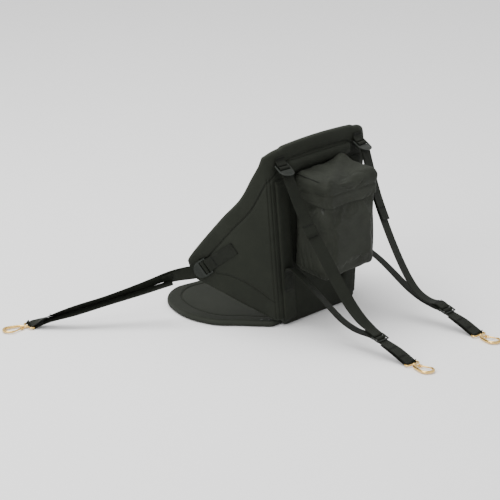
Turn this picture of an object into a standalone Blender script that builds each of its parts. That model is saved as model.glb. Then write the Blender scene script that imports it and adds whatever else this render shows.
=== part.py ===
# Kayak seat with a box bag on its back, four webbing straps and snap hooks.
# Metres, +Z up. The seat faces -Y and its left side is +X. The origin is the centre of the base's underside.

from math import cos, pi, radians, sin, tan

import bmesh
import bpy
from mathutils import Matrix, Vector

GAP = 0.0004  # between touching pieces

# Seat base
BASE_DEPTH = 0.360
BASE_WIDTH = 0.504
BASE_REAR_WIDTH = 0.310
BASE_THICKNESS = 0.016
BASE_EDGE_RADIUS = 0.005
FRONT_NOTCH = 0.012  # how far the middle of the front edge is set back

# Backrest: one moulded pad, folded at its two side seams
BACK_HEIGHT = 0.458
BACK_ARCH = 0.009  # rise of the top edge at the middle
BACK_BOTTOM_WIDTH = 0.281
BACK_TOP_WIDTH = 0.366
PAD_THICKNESS = 0.015
PAD_EDGE_RADIUS = 0.0045
WING_FLARE = radians(18)
FOLD_RADIUS = 0.012
TOP_FOLD_RADIUS = 0.060  # at the top edge
FOLD_OPENS = 0.360  # the height where the fold starts to widen
TOP_CORNER_DROP = 0.018  # how much lower the top edge is where the wing starts
WING_REACH = 0.234  # from the fold to the wing's tip
WING_TIP_HEIGHT = 0.138

# Moulded border band and the grooves that mark it
BAND_WIDTH = 0.038
LOWER_BAND_WIDTH = 0.050
GROOVE_RADIUS = 0.0022
FOLD_SEAM_SPACING = 0.007

# Stiffeners on the rear of the backrest
SLEEVE_WIDTH = 0.042
SLEEVE_THICKNESS = 0.007
SLEEVE_LENGTH = 0.372
SLEEVE_BOTTOM = 0.012
BATTEN_WIDTH = 0.022
BATTEN_THICKNESS = 0.0025
BATTEN_CLEARANCE = 0.0006
CROSS_BAND_LENGTH = 0.236
CROSS_BAND_HEIGHT = 0.027
CROSS_BAND_THICKNESS = 0.008
CROSS_BAND_BOTTOM = BACK_HEIGHT - BAND_WIDTH - 0.026

# Bag
BAG_WIDTH = 0.180
BAG_DEPTH = 0.110
BAG_HEIGHT = 0.236  # at its rear face
BAG_EDGE_RADIUS = 0.012
LID_WALL = 0.0022
LID_CLEARANCE = 0.0004
LID_SKIRT = 0.060
BAG_SLOPE = 0.013  # how much higher the bag and its lid are at the backrest
BAG_TOP_CLEARANCE = 0.005  # under the cross band
BAG_BOTTOM = CROSS_BAND_BOTTOM - BAG_TOP_CLEARANCE - BAG_SLOPE - BAG_HEIGHT
PULL_WIDTH = 0.008
PULL_LENGTH = 0.024
PULL_THICKNESS = 0.002

# Webbing and its plastic fittings
WEBBING_WIDTH = 0.032
WEBBING_THICKNESS = 0.0015
WEBBING_SIDE_CLEARANCE = 0.0012
FITTING_RAIL = 0.0046
LOCK_THICKNESS = 0.0040
LOCK_BAR = 0.0050
LOCK_TAB = 0.018
SLIDER_THICKNESS = 0.0032
SLIDER_BAR = 0.0034
SLIDER_SLOT = 0.0068
PATCH_LENGTH = 0.072
STRAP_ROLL = (radians(24), radians(8))  # how far the upper straps turn outwards at their middle, left and right
RIGHT_SLACK = Vector((-0.017, -0.002, -0.032))  # the right one hangs in and down by this at its middle
LOWER_LIFT = (0.006, 0.022)  # how far the left and right lower straps stand above their lowest line
LOWER_ROLL = (radians(-18), radians(12))  # how far they turn outwards at their middle, left and right

# Snap hooks
HOOK_RING_RADIUS = 0.0165  # to the middle of the bar
HOOK_BAR_RADIUS = 0.0028
HOOK_LENGTH = 0.080
EYE_BAR_RADIUS = 0.0022
EYE_LENGTH = 0.012
NECK_LENGTH = 0.016
GATE_RADIUS = 0.0021
GATE_CHEEK = 0.0012
LUG_THICKNESS = 0.0026
LUG_RADIUS = 0.0032
PIN_RADIUS = 0.0010
PIN_HEAD_RADIUS = 0.0019
PIN_HEAD = 0.0007
GATE_PLAY = 0.00009  # running clearance of the gate on its pin

# Where the fittings lie
TOP_LOCK = (0.146, 0.031, BACK_HEIGHT - 0.044)  # across, back from the fold line, height
TOP_LOCK_DROP = radians(34)
TOP_LOCK_YAW = radians(4)
WING_LOCK = (0.183, 0.140)  # along the wing from the fold, and height
WING_LOCK_LIFT = 0.0085
WING_LOCK_DROP = radians(36)
WING_LOCK_SPLAY = radians(14)
SLIDER_PLACE = (0.130, 0.322, 0.0455)
SLIDER_DROP = radians(21)
REAR_EYE = (0.130, 0.414)
REAR_HOOK_SWING = radians(9)
FRONT_EYE = (0.545, -0.453)
FRONT_HOOK_SWING = radians(-16)
LOWER_PATCH = (0.121, 0.092, 0.050)  # across, lowest point, height
RIVET_RADIUS = 0.0032
RIVET_SHANK = 0.0016
RIVET_DEPTH = 0.008
RIVET_PLACES = ((0.156, -0.010), (0.166, -0.026))
TAPE_WIDTH = 0.236
TAPE_LEG = 0.028
TAPE_THICKNESS = 0.0012

REAR = BASE_DEPTH / 2  # the plane where the base meets the backrest
FRONT_FACE = REAR + GAP
REAR_FACE = FRONT_FACE + PAD_THICKNESS
LEAN = (BACK_TOP_WIDTH - BACK_BOTTOM_WIDTH) / 2 / BACK_HEIGHT
HALF_WEB = WEBBING_WIDTH / 2
WRAP = WEBBING_THICKNESS / 2 + GAP  # from a bar's surface to the middle of the webbing round it
LAYER = WEBBING_THICKNESS + GAP  # between the middles of two layers of webbing
SLOT_HALF = HALF_WEB + WEBBING_SIDE_CLEARANCE
FITTING_HALF = SLOT_HALF + FITTING_RAIL

SHELL_BLACK = (0.026, 0.028, 0.025)
FABRIC_BLACK = (0.034, 0.036, 0.032)
WEBBING_BLACK = (0.020, 0.021, 0.019)
PLASTIC_BLACK = (0.016, 0.017, 0.017)
BRASS = (0.83, 0.62, 0.30)


def clear_scene():
    for thing in list(bpy.data.objects):
        bpy.data.objects.remove(thing, do_unlink=True)


def new_collection(name, hidden=False):
    group = bpy.data.collections.new(name)
    bpy.context.scene.collection.children.link(group)
    group.hide_render = hidden
    return group


def new_material(name, colour, roughness, metallic=0.0):
    material = bpy.data.materials.new(name)
    material.use_nodes = True
    shader = material.node_tree.nodes["Principled BSDF"]
    shader.inputs["Base Color"].default_value = (*colour, 1.0)
    shader.inputs["Roughness"].default_value = roughness
    shader.inputs["Metallic"].default_value = metallic
    return material


clear_scene()
parts = new_collection("kayak_seat")
cutters = new_collection("cutters", hidden=True)


def add_object(name, mesh, colour=None, roughness=0.8, metallic=0.0, place=None):
    thing = bpy.data.objects.new(name, mesh)
    parts.objects.link(thing)
    if place is not None:
        thing.matrix_world = place
    if colour is not None:
        mesh.materials.append(new_material(name, colour, roughness, metallic))
    mesh.shade_smooth()
    mesh.set_sharp_from_angle(angle=radians(35))
    return thing


def add_cutter(name, mesh, place=None):
    thing = bpy.data.objects.new(name, mesh)
    cutters.objects.link(thing)
    thing.hide_render = True
    thing.display_type = "WIRE"
    if place is not None:
        thing.matrix_world = place
    return thing


def to_mesh(bm, name):
    bmesh.ops.recalc_face_normals(bm, faces=bm.faces)
    mesh = bpy.data.meshes.new(name)
    bm.to_mesh(mesh)
    bm.free()
    return mesh


def smooth_path(points, steps):
    # Catmull-Rom curve through the points, with this many steps in each span.
    ends = [2 * points[0] - points[1], *points, 2 * points[-1] - points[-2]]
    path = []
    for a, b, c, d in zip(ends, ends[1:], ends[2:], ends[3:]):
        for step in range(steps):
            t = step / steps
            path.append(
                0.5 * ((2 * b) + (c - a) * t + (2 * a - 5 * b + 4 * c - d) * t**2 + (3 * b - a - 3 * c + d) * t**3)
            )
    path.append(points[-1])
    return path


def tube_mesh(name, points, radius, sides=8, closed=False):
    # A round bar along a line of points, as a mesh with welded caps.
    curve = bpy.data.curves.new(name, "CURVE")
    curve.dimensions = "3D"
    curve.bevel_depth = radius
    curve.bevel_resolution = (sides - 4) // 2
    curve.use_fill_caps = True
    spline = curve.splines.new("POLY")
    spline.points.add(len(points) - 1)
    for node, point in zip(spline.points, points):
        node.co = (*point, 1.0)
    spline.use_cyclic_u = closed
    guide = bpy.data.objects.new(name, curve)
    cutters.objects.link(guide)
    bpy.context.view_layer.update()
    mesh = bpy.data.meshes.new_from_object(guide.evaluated_get(bpy.context.evaluated_depsgraph_get()))
    bpy.data.objects.remove(guide, do_unlink=True)
    bpy.data.curves.remove(curve)
    bm = bmesh.new()
    bm.from_mesh(mesh)
    bmesh.ops.remove_doubles(bm, verts=bm.verts, dist=1e-6)
    bpy.data.meshes.remove(mesh)
    return to_mesh(bm, name)


def box_mesh(name, size, centre):
    bm = bmesh.new()
    bmesh.ops.create_cube(bm, size=1.0)
    bmesh.ops.transform(bm, matrix=Matrix.Translation(centre) @ Matrix.Diagonal((*size, 1.0)), verts=bm.verts)
    return to_mesh(bm, name)


def cylinder_mesh(name, radius, low, high, place=Matrix.Identity(4), sides=12):
    bm = bmesh.new()
    bmesh.ops.create_cone(
        bm, cap_ends=True, segments=sides, radius1=radius, radius2=radius, depth=high - low,
        matrix=place @ Matrix.Translation((0, 0, (low + high) / 2)),
    )
    return to_mesh(bm, name)


def boolean(target, other, operation):
    step = target.modifiers.new(other.name, "BOOLEAN")
    step.operation = operation
    step.object = other


def bevel(target, width, segments, angle):
    step = target.modifiers.new("round_edges", "BEVEL")
    step.width = width
    step.segments = segments
    step.limit_method = "ANGLE"
    step.angle_limit = angle


def frame_at(origin, along, normal):
    # Local axes: x across the webbing, y along it, z off its face.
    along = along.normalized()
    normal = (normal - normal.dot(along) * along).normalized()
    across = along.cross(normal)
    place = Matrix((across, along, normal)).transposed().to_4x4()
    place.translation = origin
    return place


def mirrored(place):
    # The same frame on the other side of the seat, still right-handed.
    across, along, normal, origin = (Vector(column[:3]) for column in place.col)
    flip = Vector((-1, 1, 1))
    turned = Matrix((-across * flip, along * flip, normal * flip)).transposed().to_4x4()
    turned.translation = origin * flip
    return turned


def for_side(stations, side):
    flip = Vector((side, 1, 1))
    return [(centre * flip, across * flip) for centre, across in stations]


def webbing(name, stations, width=WEBBING_WIDTH, thickness=WEBBING_THICKNESS, colour=WEBBING_BLACK):
    # A flat strip: each station gives the middle of the strip and the direction across it.
    bm = bmesh.new()
    rows = []
    for centre, across in stations:
        half = across.normalized() * width / 2
        rows.append((bm.verts.new(centre - half), bm.verts.new(centre + half)))
    for (a, b), (c, d) in zip(rows, rows[1:]):
        bm.faces.new((a, b, d, c))
    mesh = bpy.data.meshes.new(name)
    bm.to_mesh(mesh)
    bm.free()
    strip = add_object(name, mesh, colour, 0.75)
    wall = strip.modifiers.new("thickness", "SOLIDIFY")
    wall.thickness = thickness
    wall.offset = 0.0
    wall.use_even_offset = True
    return strip


def arc(centre, radius, start, end, steps, end_radius=None):
    # Points (along, off) on an arc in a fitting's own side view; angles in degrees.
    last = radius if end_radius is None else end_radius
    points = []
    for step in range(steps + 1):
        share = step / steps
        angle = radians(start + (end - start) * share)
        reach = radius + (last - radius) * share
        points.append((centre[0] + reach * cos(angle), centre[1] + reach * sin(angle)))
    return points


def in_frame(place, points):
    # Stations for points (along, off) in the side view of a frame.
    across = Vector(place.col[0][:3])
    return [(place @ Vector((0, along, off)), across) for along, off in points]


def free_run(centres, first_across, last_across, steps):
    # Stations between two fittings; the strip twists evenly from one to the other.
    path = smooth_path(centres, steps)
    count = len(path) - 1
    return [(point, first_across.lerp(last_across, i / count)) for i, point in enumerate(path)]


# Seat base

def base_outline():
    half = BASE_WIDTH / 2
    rear = BASE_REAR_WIDTH / 2
    shape = [
        Vector((rear, 0.0, 0)),
        Vector((rear + 0.20 * (half - rear), -0.07 * BASE_DEPTH, 0)),
        Vector((rear + 0.52 * (half - rear), -0.19 * BASE_DEPTH, 0)),
        Vector((rear + 0.88 * (half - rear), -0.32 * BASE_DEPTH, 0)),
        Vector((half, -0.50 * BASE_DEPTH, 0)),
        Vector((0.95 * half, -0.69 * BASE_DEPTH, 0)),
        Vector((0.79 * half, -0.89 * BASE_DEPTH, 0)),
        Vector((0.52 * half, -BASE_DEPTH, 0)),
        Vector((0.24 * half, -BASE_DEPTH + 0.55 * FRONT_NOTCH, 0)),
        Vector((0.0, -BASE_DEPTH + FRONT_NOTCH, 0)),
    ]
    left = smooth_path(shape, 3)
    right = [Vector((-point.x, point.y, 0)) for point in reversed(left[:-1])]
    return [point + Vector((0, REAR, 0)) for point in left + right]


def make_seat_base():
    bm = bmesh.new()
    floor = bm.faces.new([bm.verts.new(point) for point in base_outline()])
    raised = bmesh.ops.extrude_face_region(bm, geom=[floor], use_keep_orig=True)["geom"]
    top_verts = [item for item in raised if isinstance(item, bmesh.types.BMVert)]
    bmesh.ops.translate(bm, verts=top_verts, vec=(0, 0, BASE_THICKNESS))
    rims = [edge for edge in bm.edges if abs(edge.verts[0].co.z - edge.verts[1].co.z) < 1e-6]
    bmesh.ops.bevel(bm, geom=rims, offset=BASE_EDGE_RADIUS, segments=2, affect="EDGES", profile=0.5)
    base = add_object("seat_base", to_mesh(bm, "seat_base"), SHELL_BLACK, 0.85)
    inner = [
        Vector((p.x * (1 - 2 * BAND_WIDTH / BASE_WIDTH), p.y * (1 - 2 * BAND_WIDTH / BASE_DEPTH), BASE_THICKNESS))
        for p in base_outline()
    ]
    boolean(base, add_cutter("base_groove", tube_mesh("base_groove", inner, GROOVE_RADIUS, 6, True)), "DIFFERENCE")
    for side in (1, -1):
        for number, (across, back) in enumerate(RIVET_PLACES):
            low = BASE_THICKNESS - RIVET_DEPTH - GAP
            spot = Matrix.Translation((side * across, REAR + back, 0))
            name = f"rivet_hole_{'left' if side > 0 else 'right'}_{number}"
            hole = cylinder_mesh(name, RIVET_SHANK + GAP, low, BASE_THICKNESS + 0.01, spot)
            boolean(base, add_cutter(name, hole), "DIFFERENCE")
    return base


def make_corner_rivets():
    for side, word in ((1, "left"), (-1, "right")):
        for (across, back), end in zip(RIVET_PLACES, ("rear", "front")):
            name = f"corner_rivet_{word}_{end}"
            seat = BASE_THICKNESS + GAP
            profile = (
                (RIVET_SHANK * 0.2, seat + 0.0016),
                (RIVET_RADIUS * 0.6, seat + 0.0013),
                (RIVET_RADIUS, seat + 0.0005),
                (RIVET_RADIUS, seat),
                (RIVET_SHANK, seat),
                (RIVET_SHANK, BASE_THICKNESS - RIVET_DEPTH),
            )
            bm = bmesh.new()
            line = [bm.verts.new((0, 0, profile[0][1]))]
            line += [bm.verts.new((radius, 0, height)) for radius, height in profile]
            line += [bm.verts.new((0, 0, profile[-1][1]))]
            for a, b in zip(line, line[1:]):
                bm.edges.new((a, b))
            bmesh.ops.spin(
                bm, geom=bm.verts[:] + bm.edges[:], cent=(0, 0, 0), axis=(0, 0, 1), angle=2 * pi, steps=12,
                use_merge=True,
            )
            bmesh.ops.remove_doubles(bm, verts=bm.verts, dist=1e-6)
            spot = Matrix.Translation((side * across, REAR + back, 0))
            add_object(name, to_mesh(bm, name), PLASTIC_BLACK, 0.4, place=spot)


# Backrest

FOLD_TURN = pi / 2 - WING_FLARE


def fold_radius(height):
    # The fold opens out into a wide curve towards the top edge.
    share = min(1.0, max(0.0, (height - FOLD_OPENS) / (BACK_HEIGHT - FOLD_OPENS)))
    return FOLD_RADIUS + (TOP_FOLD_RADIUS - FOLD_RADIUS) * share**2


def fold_ease(height):
    # How far the curve reaches on each side of the fold line.
    return fold_radius(height) * tan(FOLD_TURN / 2)


def fold_path(reach, height):
    # Plan view of the pad round the left fold: 0 is the fold, minus is the panel and plus is the wing.
    radius = fold_radius(height)
    ease = fold_ease(height)
    if reach <= -ease:
        return reach, 0.0
    if reach >= ease:
        return reach * sin(WING_FLARE), -reach * cos(WING_FLARE)
    angle = FOLD_TURN * (reach + ease) / (2 * ease)
    return -ease + radius * sin(angle), -radius * (1 - cos(angle))


def pad_point(reach, height, off=0.0):
    # Point on the left half of the pad; off is the distance outwards from its middle surface.
    def middle(along, level):
        across, back = fold_path(along, level)
        return Vector((BACK_BOTTOM_WIDTH / 2 + LEAN * level + across, FRONT_FACE + PAD_THICKNESS / 2 + back, level))

    point = middle(reach, height)
    if off:
        small = 0.0005
        along = middle(reach + small, height) - middle(reach - small, height)
        rise = middle(reach, height + small) - middle(reach, height - small)
        point += rise.cross(along).normalized() * off
    return point


def wing_edge():
    # The wing's free edge as (reach, height) from its lower front corner to the top of the fold.
    tip, low = WING_REACH, WING_TIP_HEIGHT
    span = BACK_HEIGHT - low
    return [
        Vector((0.915 * tip, 0.715 * low)),
        Vector((tip, low)),
        Vector((0.96 * tip, low + 0.085 * span)),
        Vector((0.585 * tip, low + 0.405 * span)),
        Vector((0.345 * tip, low + 0.590 * span)),
        Vector((0.19 * tip, low + 0.775 * span)),
        Vector((0.07 * tip, BACK_HEIGHT - TOP_CORNER_DROP - 0.009)),
    ]


def make_backrest():
    edge = smooth_path(wing_edge(), 2)
    count = len(edge) - 1
    wing_foot = BASE_THICKNESS + 2 * GAP
    bm = bmesh.new()
    grid = []
    for i, (reach, height) in enumerate(edge):
        share = i / count
        level = BACK_HEIGHT * share
        foot = wing_foot + (BACK_HEIGHT - wing_foot) * share
        row = []
        ease = fold_ease(foot)
        outer = min(ease, 0.9 * reach)
        drop = TOP_CORNER_DROP * share**6
        inner = BACK_BOTTOM_WIDTH / 2 + LEAN * level
        for part in (0.0, 0.25, 0.5, 0.75, 1.0):
            across = part * (inner - ease - 0.012)
            arch = BACK_ARCH * share**4 * (1 - (across / inner) ** 2)
            row.append(Vector((across, FRONT_FACE + PAD_THICKNESS / 2, level + arch)))
        for part in (0.0, 0.25, 0.5, 0.75, 1.0):
            row.append(pad_point(-ease + (ease + outer) * part, foot - drop * part**2))
        for part in (0.25, 0.5, 0.75, 1.0):
            row.append(pad_point(outer + (reach - outer) * part, foot - drop + (height - foot + drop) * part))
        grid.append([bm.verts.new(point) for point in row])
    for low, high in zip(grid, grid[1:]):
        for a, b, c, d in zip(low, low[1:], high[1:], high):
            bm.faces.new((a, b, c, d))
    pad = add_object("backrest_pad", to_mesh(bm, "backrest_pad"), SHELL_BLACK, 0.85)
    half = pad.modifiers.new("right_half", "MIRROR")
    half.merge_threshold = 0.0001
    wall = pad.modifiers.new("thickness", "SOLIDIFY")
    wall.thickness = PAD_THICKNESS
    wall.offset = 0.0
    wall.use_even_offset = True
    bevel(pad, PAD_EDGE_RADIUS, 2, radians(60))
    for groove in pad_grooves():
        boolean(pad, groove, "DIFFERENCE")
    return pad


def band_line():
    # The inner line of the border band as (reach, height), set in from the wing's edge.
    edge = smooth_path(wing_edge(), 3)
    line = []
    for before, here, after in zip(edge[4:], edge[5:], edge[6:]):
        run = (after - before).normalized()
        inward = here + BAND_WIDTH * Vector((-run.y, run.x))
        if inward.x > 0.004:
            line.append(inward)
    return line


def both_sides(points):
    return [Vector((-p.x, p.y, p.z)) for p in reversed(points)] + points


def pad_grooves():
    skin = PAD_THICKNESS / 2
    drop = BACK_HEIGHT - BAND_WIDTH
    wing = [pad_point(reach, height, skin) for reach, height in band_line()]
    corner = pad_point(-0.028, drop - 0.018, skin)
    along = [Vector((share * BACK_TOP_WIDTH / 2, REAR_FACE, drop + BACK_ARCH * (1 - share**2))) for share in (0.5, 0.2)]
    band = tube_mesh("band_groove", both_sides([*reversed(along), corner, *reversed(wing)]), GROOVE_RADIUS, 6)
    grooves = [add_cutter("band_groove", band)]
    low = LOWER_BAND_WIDTH
    lower = ((0.67, low + 0.075), (0.48, low + 0.071), (0.24, low + 0.049), (0.03, low + 0.018))
    for side, word in ((1, "left"), (-1, "right")):
        path = [pad_point(share * WING_REACH, height, skin) for share, height in lower]
        lines = [("lower", path, GROOVE_RADIUS)]
        for name, offset in (("outer", 0.5), ("inner", -0.5)):
            seam = [pad_point(offset * FOLD_SEAM_SPACING, level, skin) for level in (0.024, 0.2, drop - 0.035)]
            lines.append((name, seam, 0.5 * GROOVE_RADIUS))
        for name, points, radius in lines:
            turned = [Vector((side * p.x, p.y, p.z)) for p in points]
            title = f"{name}_groove_{word}"
            grooves.append(add_cutter(title, tube_mesh(title, turned, radius, 6)))
    return grooves


def make_hinge_tape():
    # Strip sewn into the corner between the base and the backrest.
    level = BASE_THICKNESS + GAP + TAPE_THICKNESS / 2
    wall = FRONT_FACE - GAP - TAPE_THICKNESS / 2
    bend = 0.004
    points = [(wall - TAPE_LEG, level), (wall - bend, level), (wall - 0.3 * bend, level + 0.3 * bend)]
    points += [(wall, level + bend), (wall, level + TAPE_LEG)]
    across = Vector((1, 0, 0))
    stations = [(Vector((0, back, height)), across) for back, height in points]
    webbing("hinge_tape", stations, TAPE_WIDTH, TAPE_THICKNESS, FABRIC_BLACK)


# Stiffener sleeves, battens and the cross band

def strip_section(name, width, height, length):
    # A low strip with sloping sides: x across, y off the surface, z along.
    bm = bmesh.new()
    side = 0.35 * height
    flat = width / 2 - 0.6 * height
    outline = ((-width / 2, 0), (width / 2, 0), (width / 2, side), (flat, height), (-flat, height), (-width / 2, side))
    face = bm.faces.new([bm.verts.new((x, y, 0)) for x, y in outline])
    grown = bmesh.ops.extrude_face_region(bm, geom=[face], use_keep_orig=True)["geom"]
    verts = [item for item in grown if isinstance(item, bmesh.types.BMVert)]
    bmesh.ops.translate(bm, verts=verts, vec=(0, 0, length))
    return to_mesh(bm, name)


def make_sleeves():
    lean = Matrix.Rotation(LEAN, 4, "Y")
    middle = BACK_BOTTOM_WIDTH / 2 - FOLD_RADIUS - 0.003 - SLEEVE_WIDTH / 2
    for side, word in ((1, "left"), (-1, "right")):
        turn = lean if side > 0 else lean.inverted()
        foot = Vector((side * (middle + LEAN * SLEEVE_BOTTOM), REAR_FACE + GAP, SLEEVE_BOTTOM))
        place = Matrix.Translation(foot) @ turn
        name = f"stay_sleeve_{word}"
        section = strip_section(name, SLEEVE_WIDTH, SLEEVE_THICKNESS, SLEEVE_LENGTH)
        sleeve = add_object(name, section, SHELL_BLACK, 0.85, place=place)
        centre = SLEEVE_THICKNESS * 0.45
        slot = (BATTEN_WIDTH + 2 * BATTEN_CLEARANCE, BATTEN_THICKNESS + 2 * BATTEN_CLEARANCE, SLEEVE_LENGTH)
        pocket = box_mesh(f"batten_slot_{word}", slot, (0, centre, SLEEVE_LENGTH * 0.5 + 0.012))
        boolean(sleeve, add_cutter(f"batten_slot_{word}", pocket, place), "DIFFERENCE")
        length = SLEEVE_LENGTH - 0.016
        batten = box_mesh(
            f"stay_batten_{word}", (BATTEN_WIDTH, BATTEN_THICKNESS, length),
            (0, centre, 0.012 + BATTEN_CLEARANCE + length / 2),
        )
        add_object(f"stay_batten_{word}", batten, PLASTIC_BLACK, 0.5, place=place)


def make_cross_band():
    section = strip_section("cross_band", CROSS_BAND_HEIGHT, CROSS_BAND_THICKNESS, CROSS_BAND_LENGTH)
    place = Matrix.Translation(
        (-CROSS_BAND_LENGTH / 2, REAR_FACE + GAP, CROSS_BAND_BOTTOM + CROSS_BAND_HEIGHT / 2)
    ) @ Matrix(((0, 0, 1, 0), (0, 1, 0, 0), (-1, 0, 0, 0), (0, 0, 0, 1)))
    band = add_object("cross_band", section, SHELL_BLACK, 0.85, place=place)
    bevel(band, 0.0015, 1, radians(40))


# Bag

BAG_BACK = REAR_FACE + GAP


def slope_top(mesh):
    # The top falls from the backrest to the bag's rear face.
    top = max(vertex.co.z for vertex in mesh.vertices)
    for vertex in mesh.vertices:
        if vertex.co.z > top - 1e-6:
            vertex.co.z += BAG_SLOPE * (1 - (vertex.co.y - BAG_BACK) / BAG_DEPTH)


def make_bag_body():
    size = (BAG_WIDTH, BAG_DEPTH, BAG_HEIGHT)
    centre = (0, BAG_BACK + BAG_DEPTH / 2, BAG_BOTTOM + BAG_HEIGHT / 2)
    mesh = box_mesh("bag_body", size, centre)
    slope_top(mesh)
    body = add_object("bag_body", mesh, FABRIC_BLACK, 0.8)
    bevel(body, BAG_EDGE_RADIUS, 3, radians(40))


def make_bag_lid():
    # An open-bottomed cap: its three skirts hang over the body and its fourth side is the backrest's.
    room = LID_CLEARANCE
    top = BAG_BOTTOM + BAG_HEIGHT + room
    width = BAG_WIDTH + 2 * (room + LID_WALL)
    depth = BAG_DEPTH + room + LID_WALL
    bottom = top + LID_WALL - LID_SKIRT
    height = top + LID_WALL - bottom
    mesh = box_mesh("bag_lid", (width, depth, height), (0, BAG_BACK + depth / 2, bottom + height / 2))
    slope_top(mesh)
    lid = add_object("bag_lid", mesh, FABRIC_BLACK, 0.8)
    bevel(lid, BAG_EDGE_RADIUS * 0.8, 3, radians(40))
    inside = (BAG_WIDTH + 2 * room, BAG_DEPTH + 0.05 + room, height + 0.05)
    centre = (0, BAG_BACK + (BAG_DEPTH + room - 0.05) / 2, top - inside[2] / 2)
    room_mesh = box_mesh("lid_room", inside, centre)
    slope_top(room_mesh)
    space = add_cutter("lid_room", room_mesh)
    bevel(space, BAG_EDGE_RADIUS * 0.8 - LID_WALL, 3, radians(40))
    boolean(lid, space, "DIFFERENCE")


def make_zip_pull():
    size = (PULL_THICKNESS, PULL_WIDTH, PULL_LENGTH)
    across = BAG_WIDTH / 2 + GAP + PULL_THICKNESS / 2
    top = BAG_BOTTOM + BAG_HEIGHT - LID_SKIRT - 0.001
    centre = (across, BAG_BACK + BAG_DEPTH - BAG_EDGE_RADIUS - PULL_WIDTH / 2 - 0.002, top - PULL_LENGTH / 2)
    pull = add_object("bag_zip_pull", box_mesh("bag_zip_pull", size, centre), PLASTIC_BLACK, 0.35)
    bevel(pull, 0.0007, 2, radians(40))


# Plastic fittings: flat plates with slots, seen from above with x across and y along the strap

def slotted_plate(name, outline, slots, thickness):
    curve = bpy.data.curves.new(name, "CURVE")
    curve.dimensions = "2D"
    curve.fill_mode = "BOTH"
    curve.extrude = thickness / 2
    for loop in (outline, *slots):
        spline = curve.splines.new("POLY")
        spline.points.add(len(loop) - 1)
        spline.use_cyclic_u = True
        for node, (across, along) in zip(spline.points, loop):
            node.co = (across, along, 0.0, 1.0)
    guide = bpy.data.objects.new(name, curve)
    cutters.objects.link(guide)
    bpy.context.view_layer.update()
    mesh = bpy.data.meshes.new_from_object(guide.evaluated_get(bpy.context.evaluated_depsgraph_get()))
    bpy.data.objects.remove(guide, do_unlink=True)
    bpy.data.curves.remove(curve)
    bm = bmesh.new()
    bm.from_mesh(mesh)
    bmesh.ops.remove_doubles(bm, verts=bm.verts, dist=1e-6)
    bpy.data.meshes.remove(mesh)
    return to_mesh(bm, name)


def slot_between(start, end):
    return [(-SLOT_HALF, start), (SLOT_HALF, start), (SLOT_HALF, end), (-SLOT_HALF, end)]


LOCK_WRAP = LOCK_BAR / 2 + WRAP + 0.0008  # the webbing's middle round a bar with square corners
LOCK_PITCH = 2 * LOCK_WRAP + LAYER  # between the anchor bar and the lock's middle bar
LOCK_RAMP = LOCK_WRAP + WRAP + 0.0006  # where the tab's bar starts


def make_lock_mesh():
    rear = -LOCK_PITCH - LOCK_BAR / 2
    front = LOCK_RAMP + LOCK_BAR
    half = FITTING_HALF
    chamfer = 0.0025
    tab = [(half, front)]
    for angle in (20, 45, 70, 90, 110, 135, 160):
        tab.append((half * 0.86 * cos(radians(angle)), front + LOCK_TAB * sin(radians(angle))))
    tab.append((-half, front))
    outline = [(-half, rear + chamfer), (-half + chamfer, rear), (half - chamfer, rear), (half, rear + chamfer), *tab]
    slots = [
        slot_between(-LOCK_PITCH + LOCK_BAR / 2, -LOCK_BAR / 2),
        slot_between(LOCK_BAR / 2, LOCK_RAMP),
    ]
    mesh = slotted_plate("ladder_lock", outline, slots, LOCK_THICKNESS)
    for vertex in mesh.vertices:
        past = vertex.co.y - front
        if past > 1e-5:
            thin = 1 - 0.45 * min(1.0, past / LOCK_TAB)
            vertex.co.z = vertex.co.z * thin + 0.28 * past
    return mesh


SLIDER_PITCH = SLIDER_BAR + SLIDER_SLOT


def make_slider_mesh():
    half = FITTING_HALF
    end = SLIDER_PITCH + SLIDER_BAR / 2
    chamfer = 0.0035
    outline = []
    for sx, sy in ((1, -1), (1, 1), (-1, 1), (-1, -1)):
        corner = [(sx * (half - chamfer), sy * end), (sx * half, sy * (end - chamfer))]
        outline += corner if (sx > 0) == (sy < 0) else corner[::-1]
    slots = [
        slot_between(-SLIDER_PITCH + SLIDER_BAR / 2, -SLIDER_BAR / 2),
        slot_between(SLIDER_BAR / 2, SLIDER_PITCH - SLIDER_BAR / 2),
    ]
    return slotted_plate("strap_slider", outline, slots, SLIDER_THICKNESS)


def wing_frame():
    # The ladder lock on the left wing, turned down towards the tip and splayed outwards.
    reach, height = WING_LOCK
    along = pad_point(reach + 0.001, height) - pad_point(reach, height)
    rise = pad_point(reach, height + 0.001) - pad_point(reach, height)
    along.normalize()
    rise.normalize()
    normal = rise.cross(along).normalized()
    run = along * cos(WING_LOCK_DROP) - rise * sin(WING_LOCK_DROP)
    splayed = run * cos(WING_LOCK_SPLAY) + normal * sin(WING_LOCK_SPLAY)
    origin = pad_point(reach, height, PAD_THICKNESS / 2 + WING_LOCK_LIFT)
    return frame_at(origin, splayed, normal), run, normal


def top_frame():
    out = Vector((sin(TOP_LOCK_YAW), cos(TOP_LOCK_YAW), 0))
    along = out * cos(TOP_LOCK_DROP) - Vector((0, 0, sin(TOP_LOCK_DROP)))
    across, back, height = TOP_LOCK
    return frame_at(Vector((across, REAR + back, height)), along, out)


def slider_frame():
    across, back, height = SLIDER_PLACE
    along = Vector((0, cos(SLIDER_DROP), -sin(SLIDER_DROP)))
    return frame_at(Vector((across, REAR + back, height)), along, Vector((0, 0, 1)))


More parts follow.
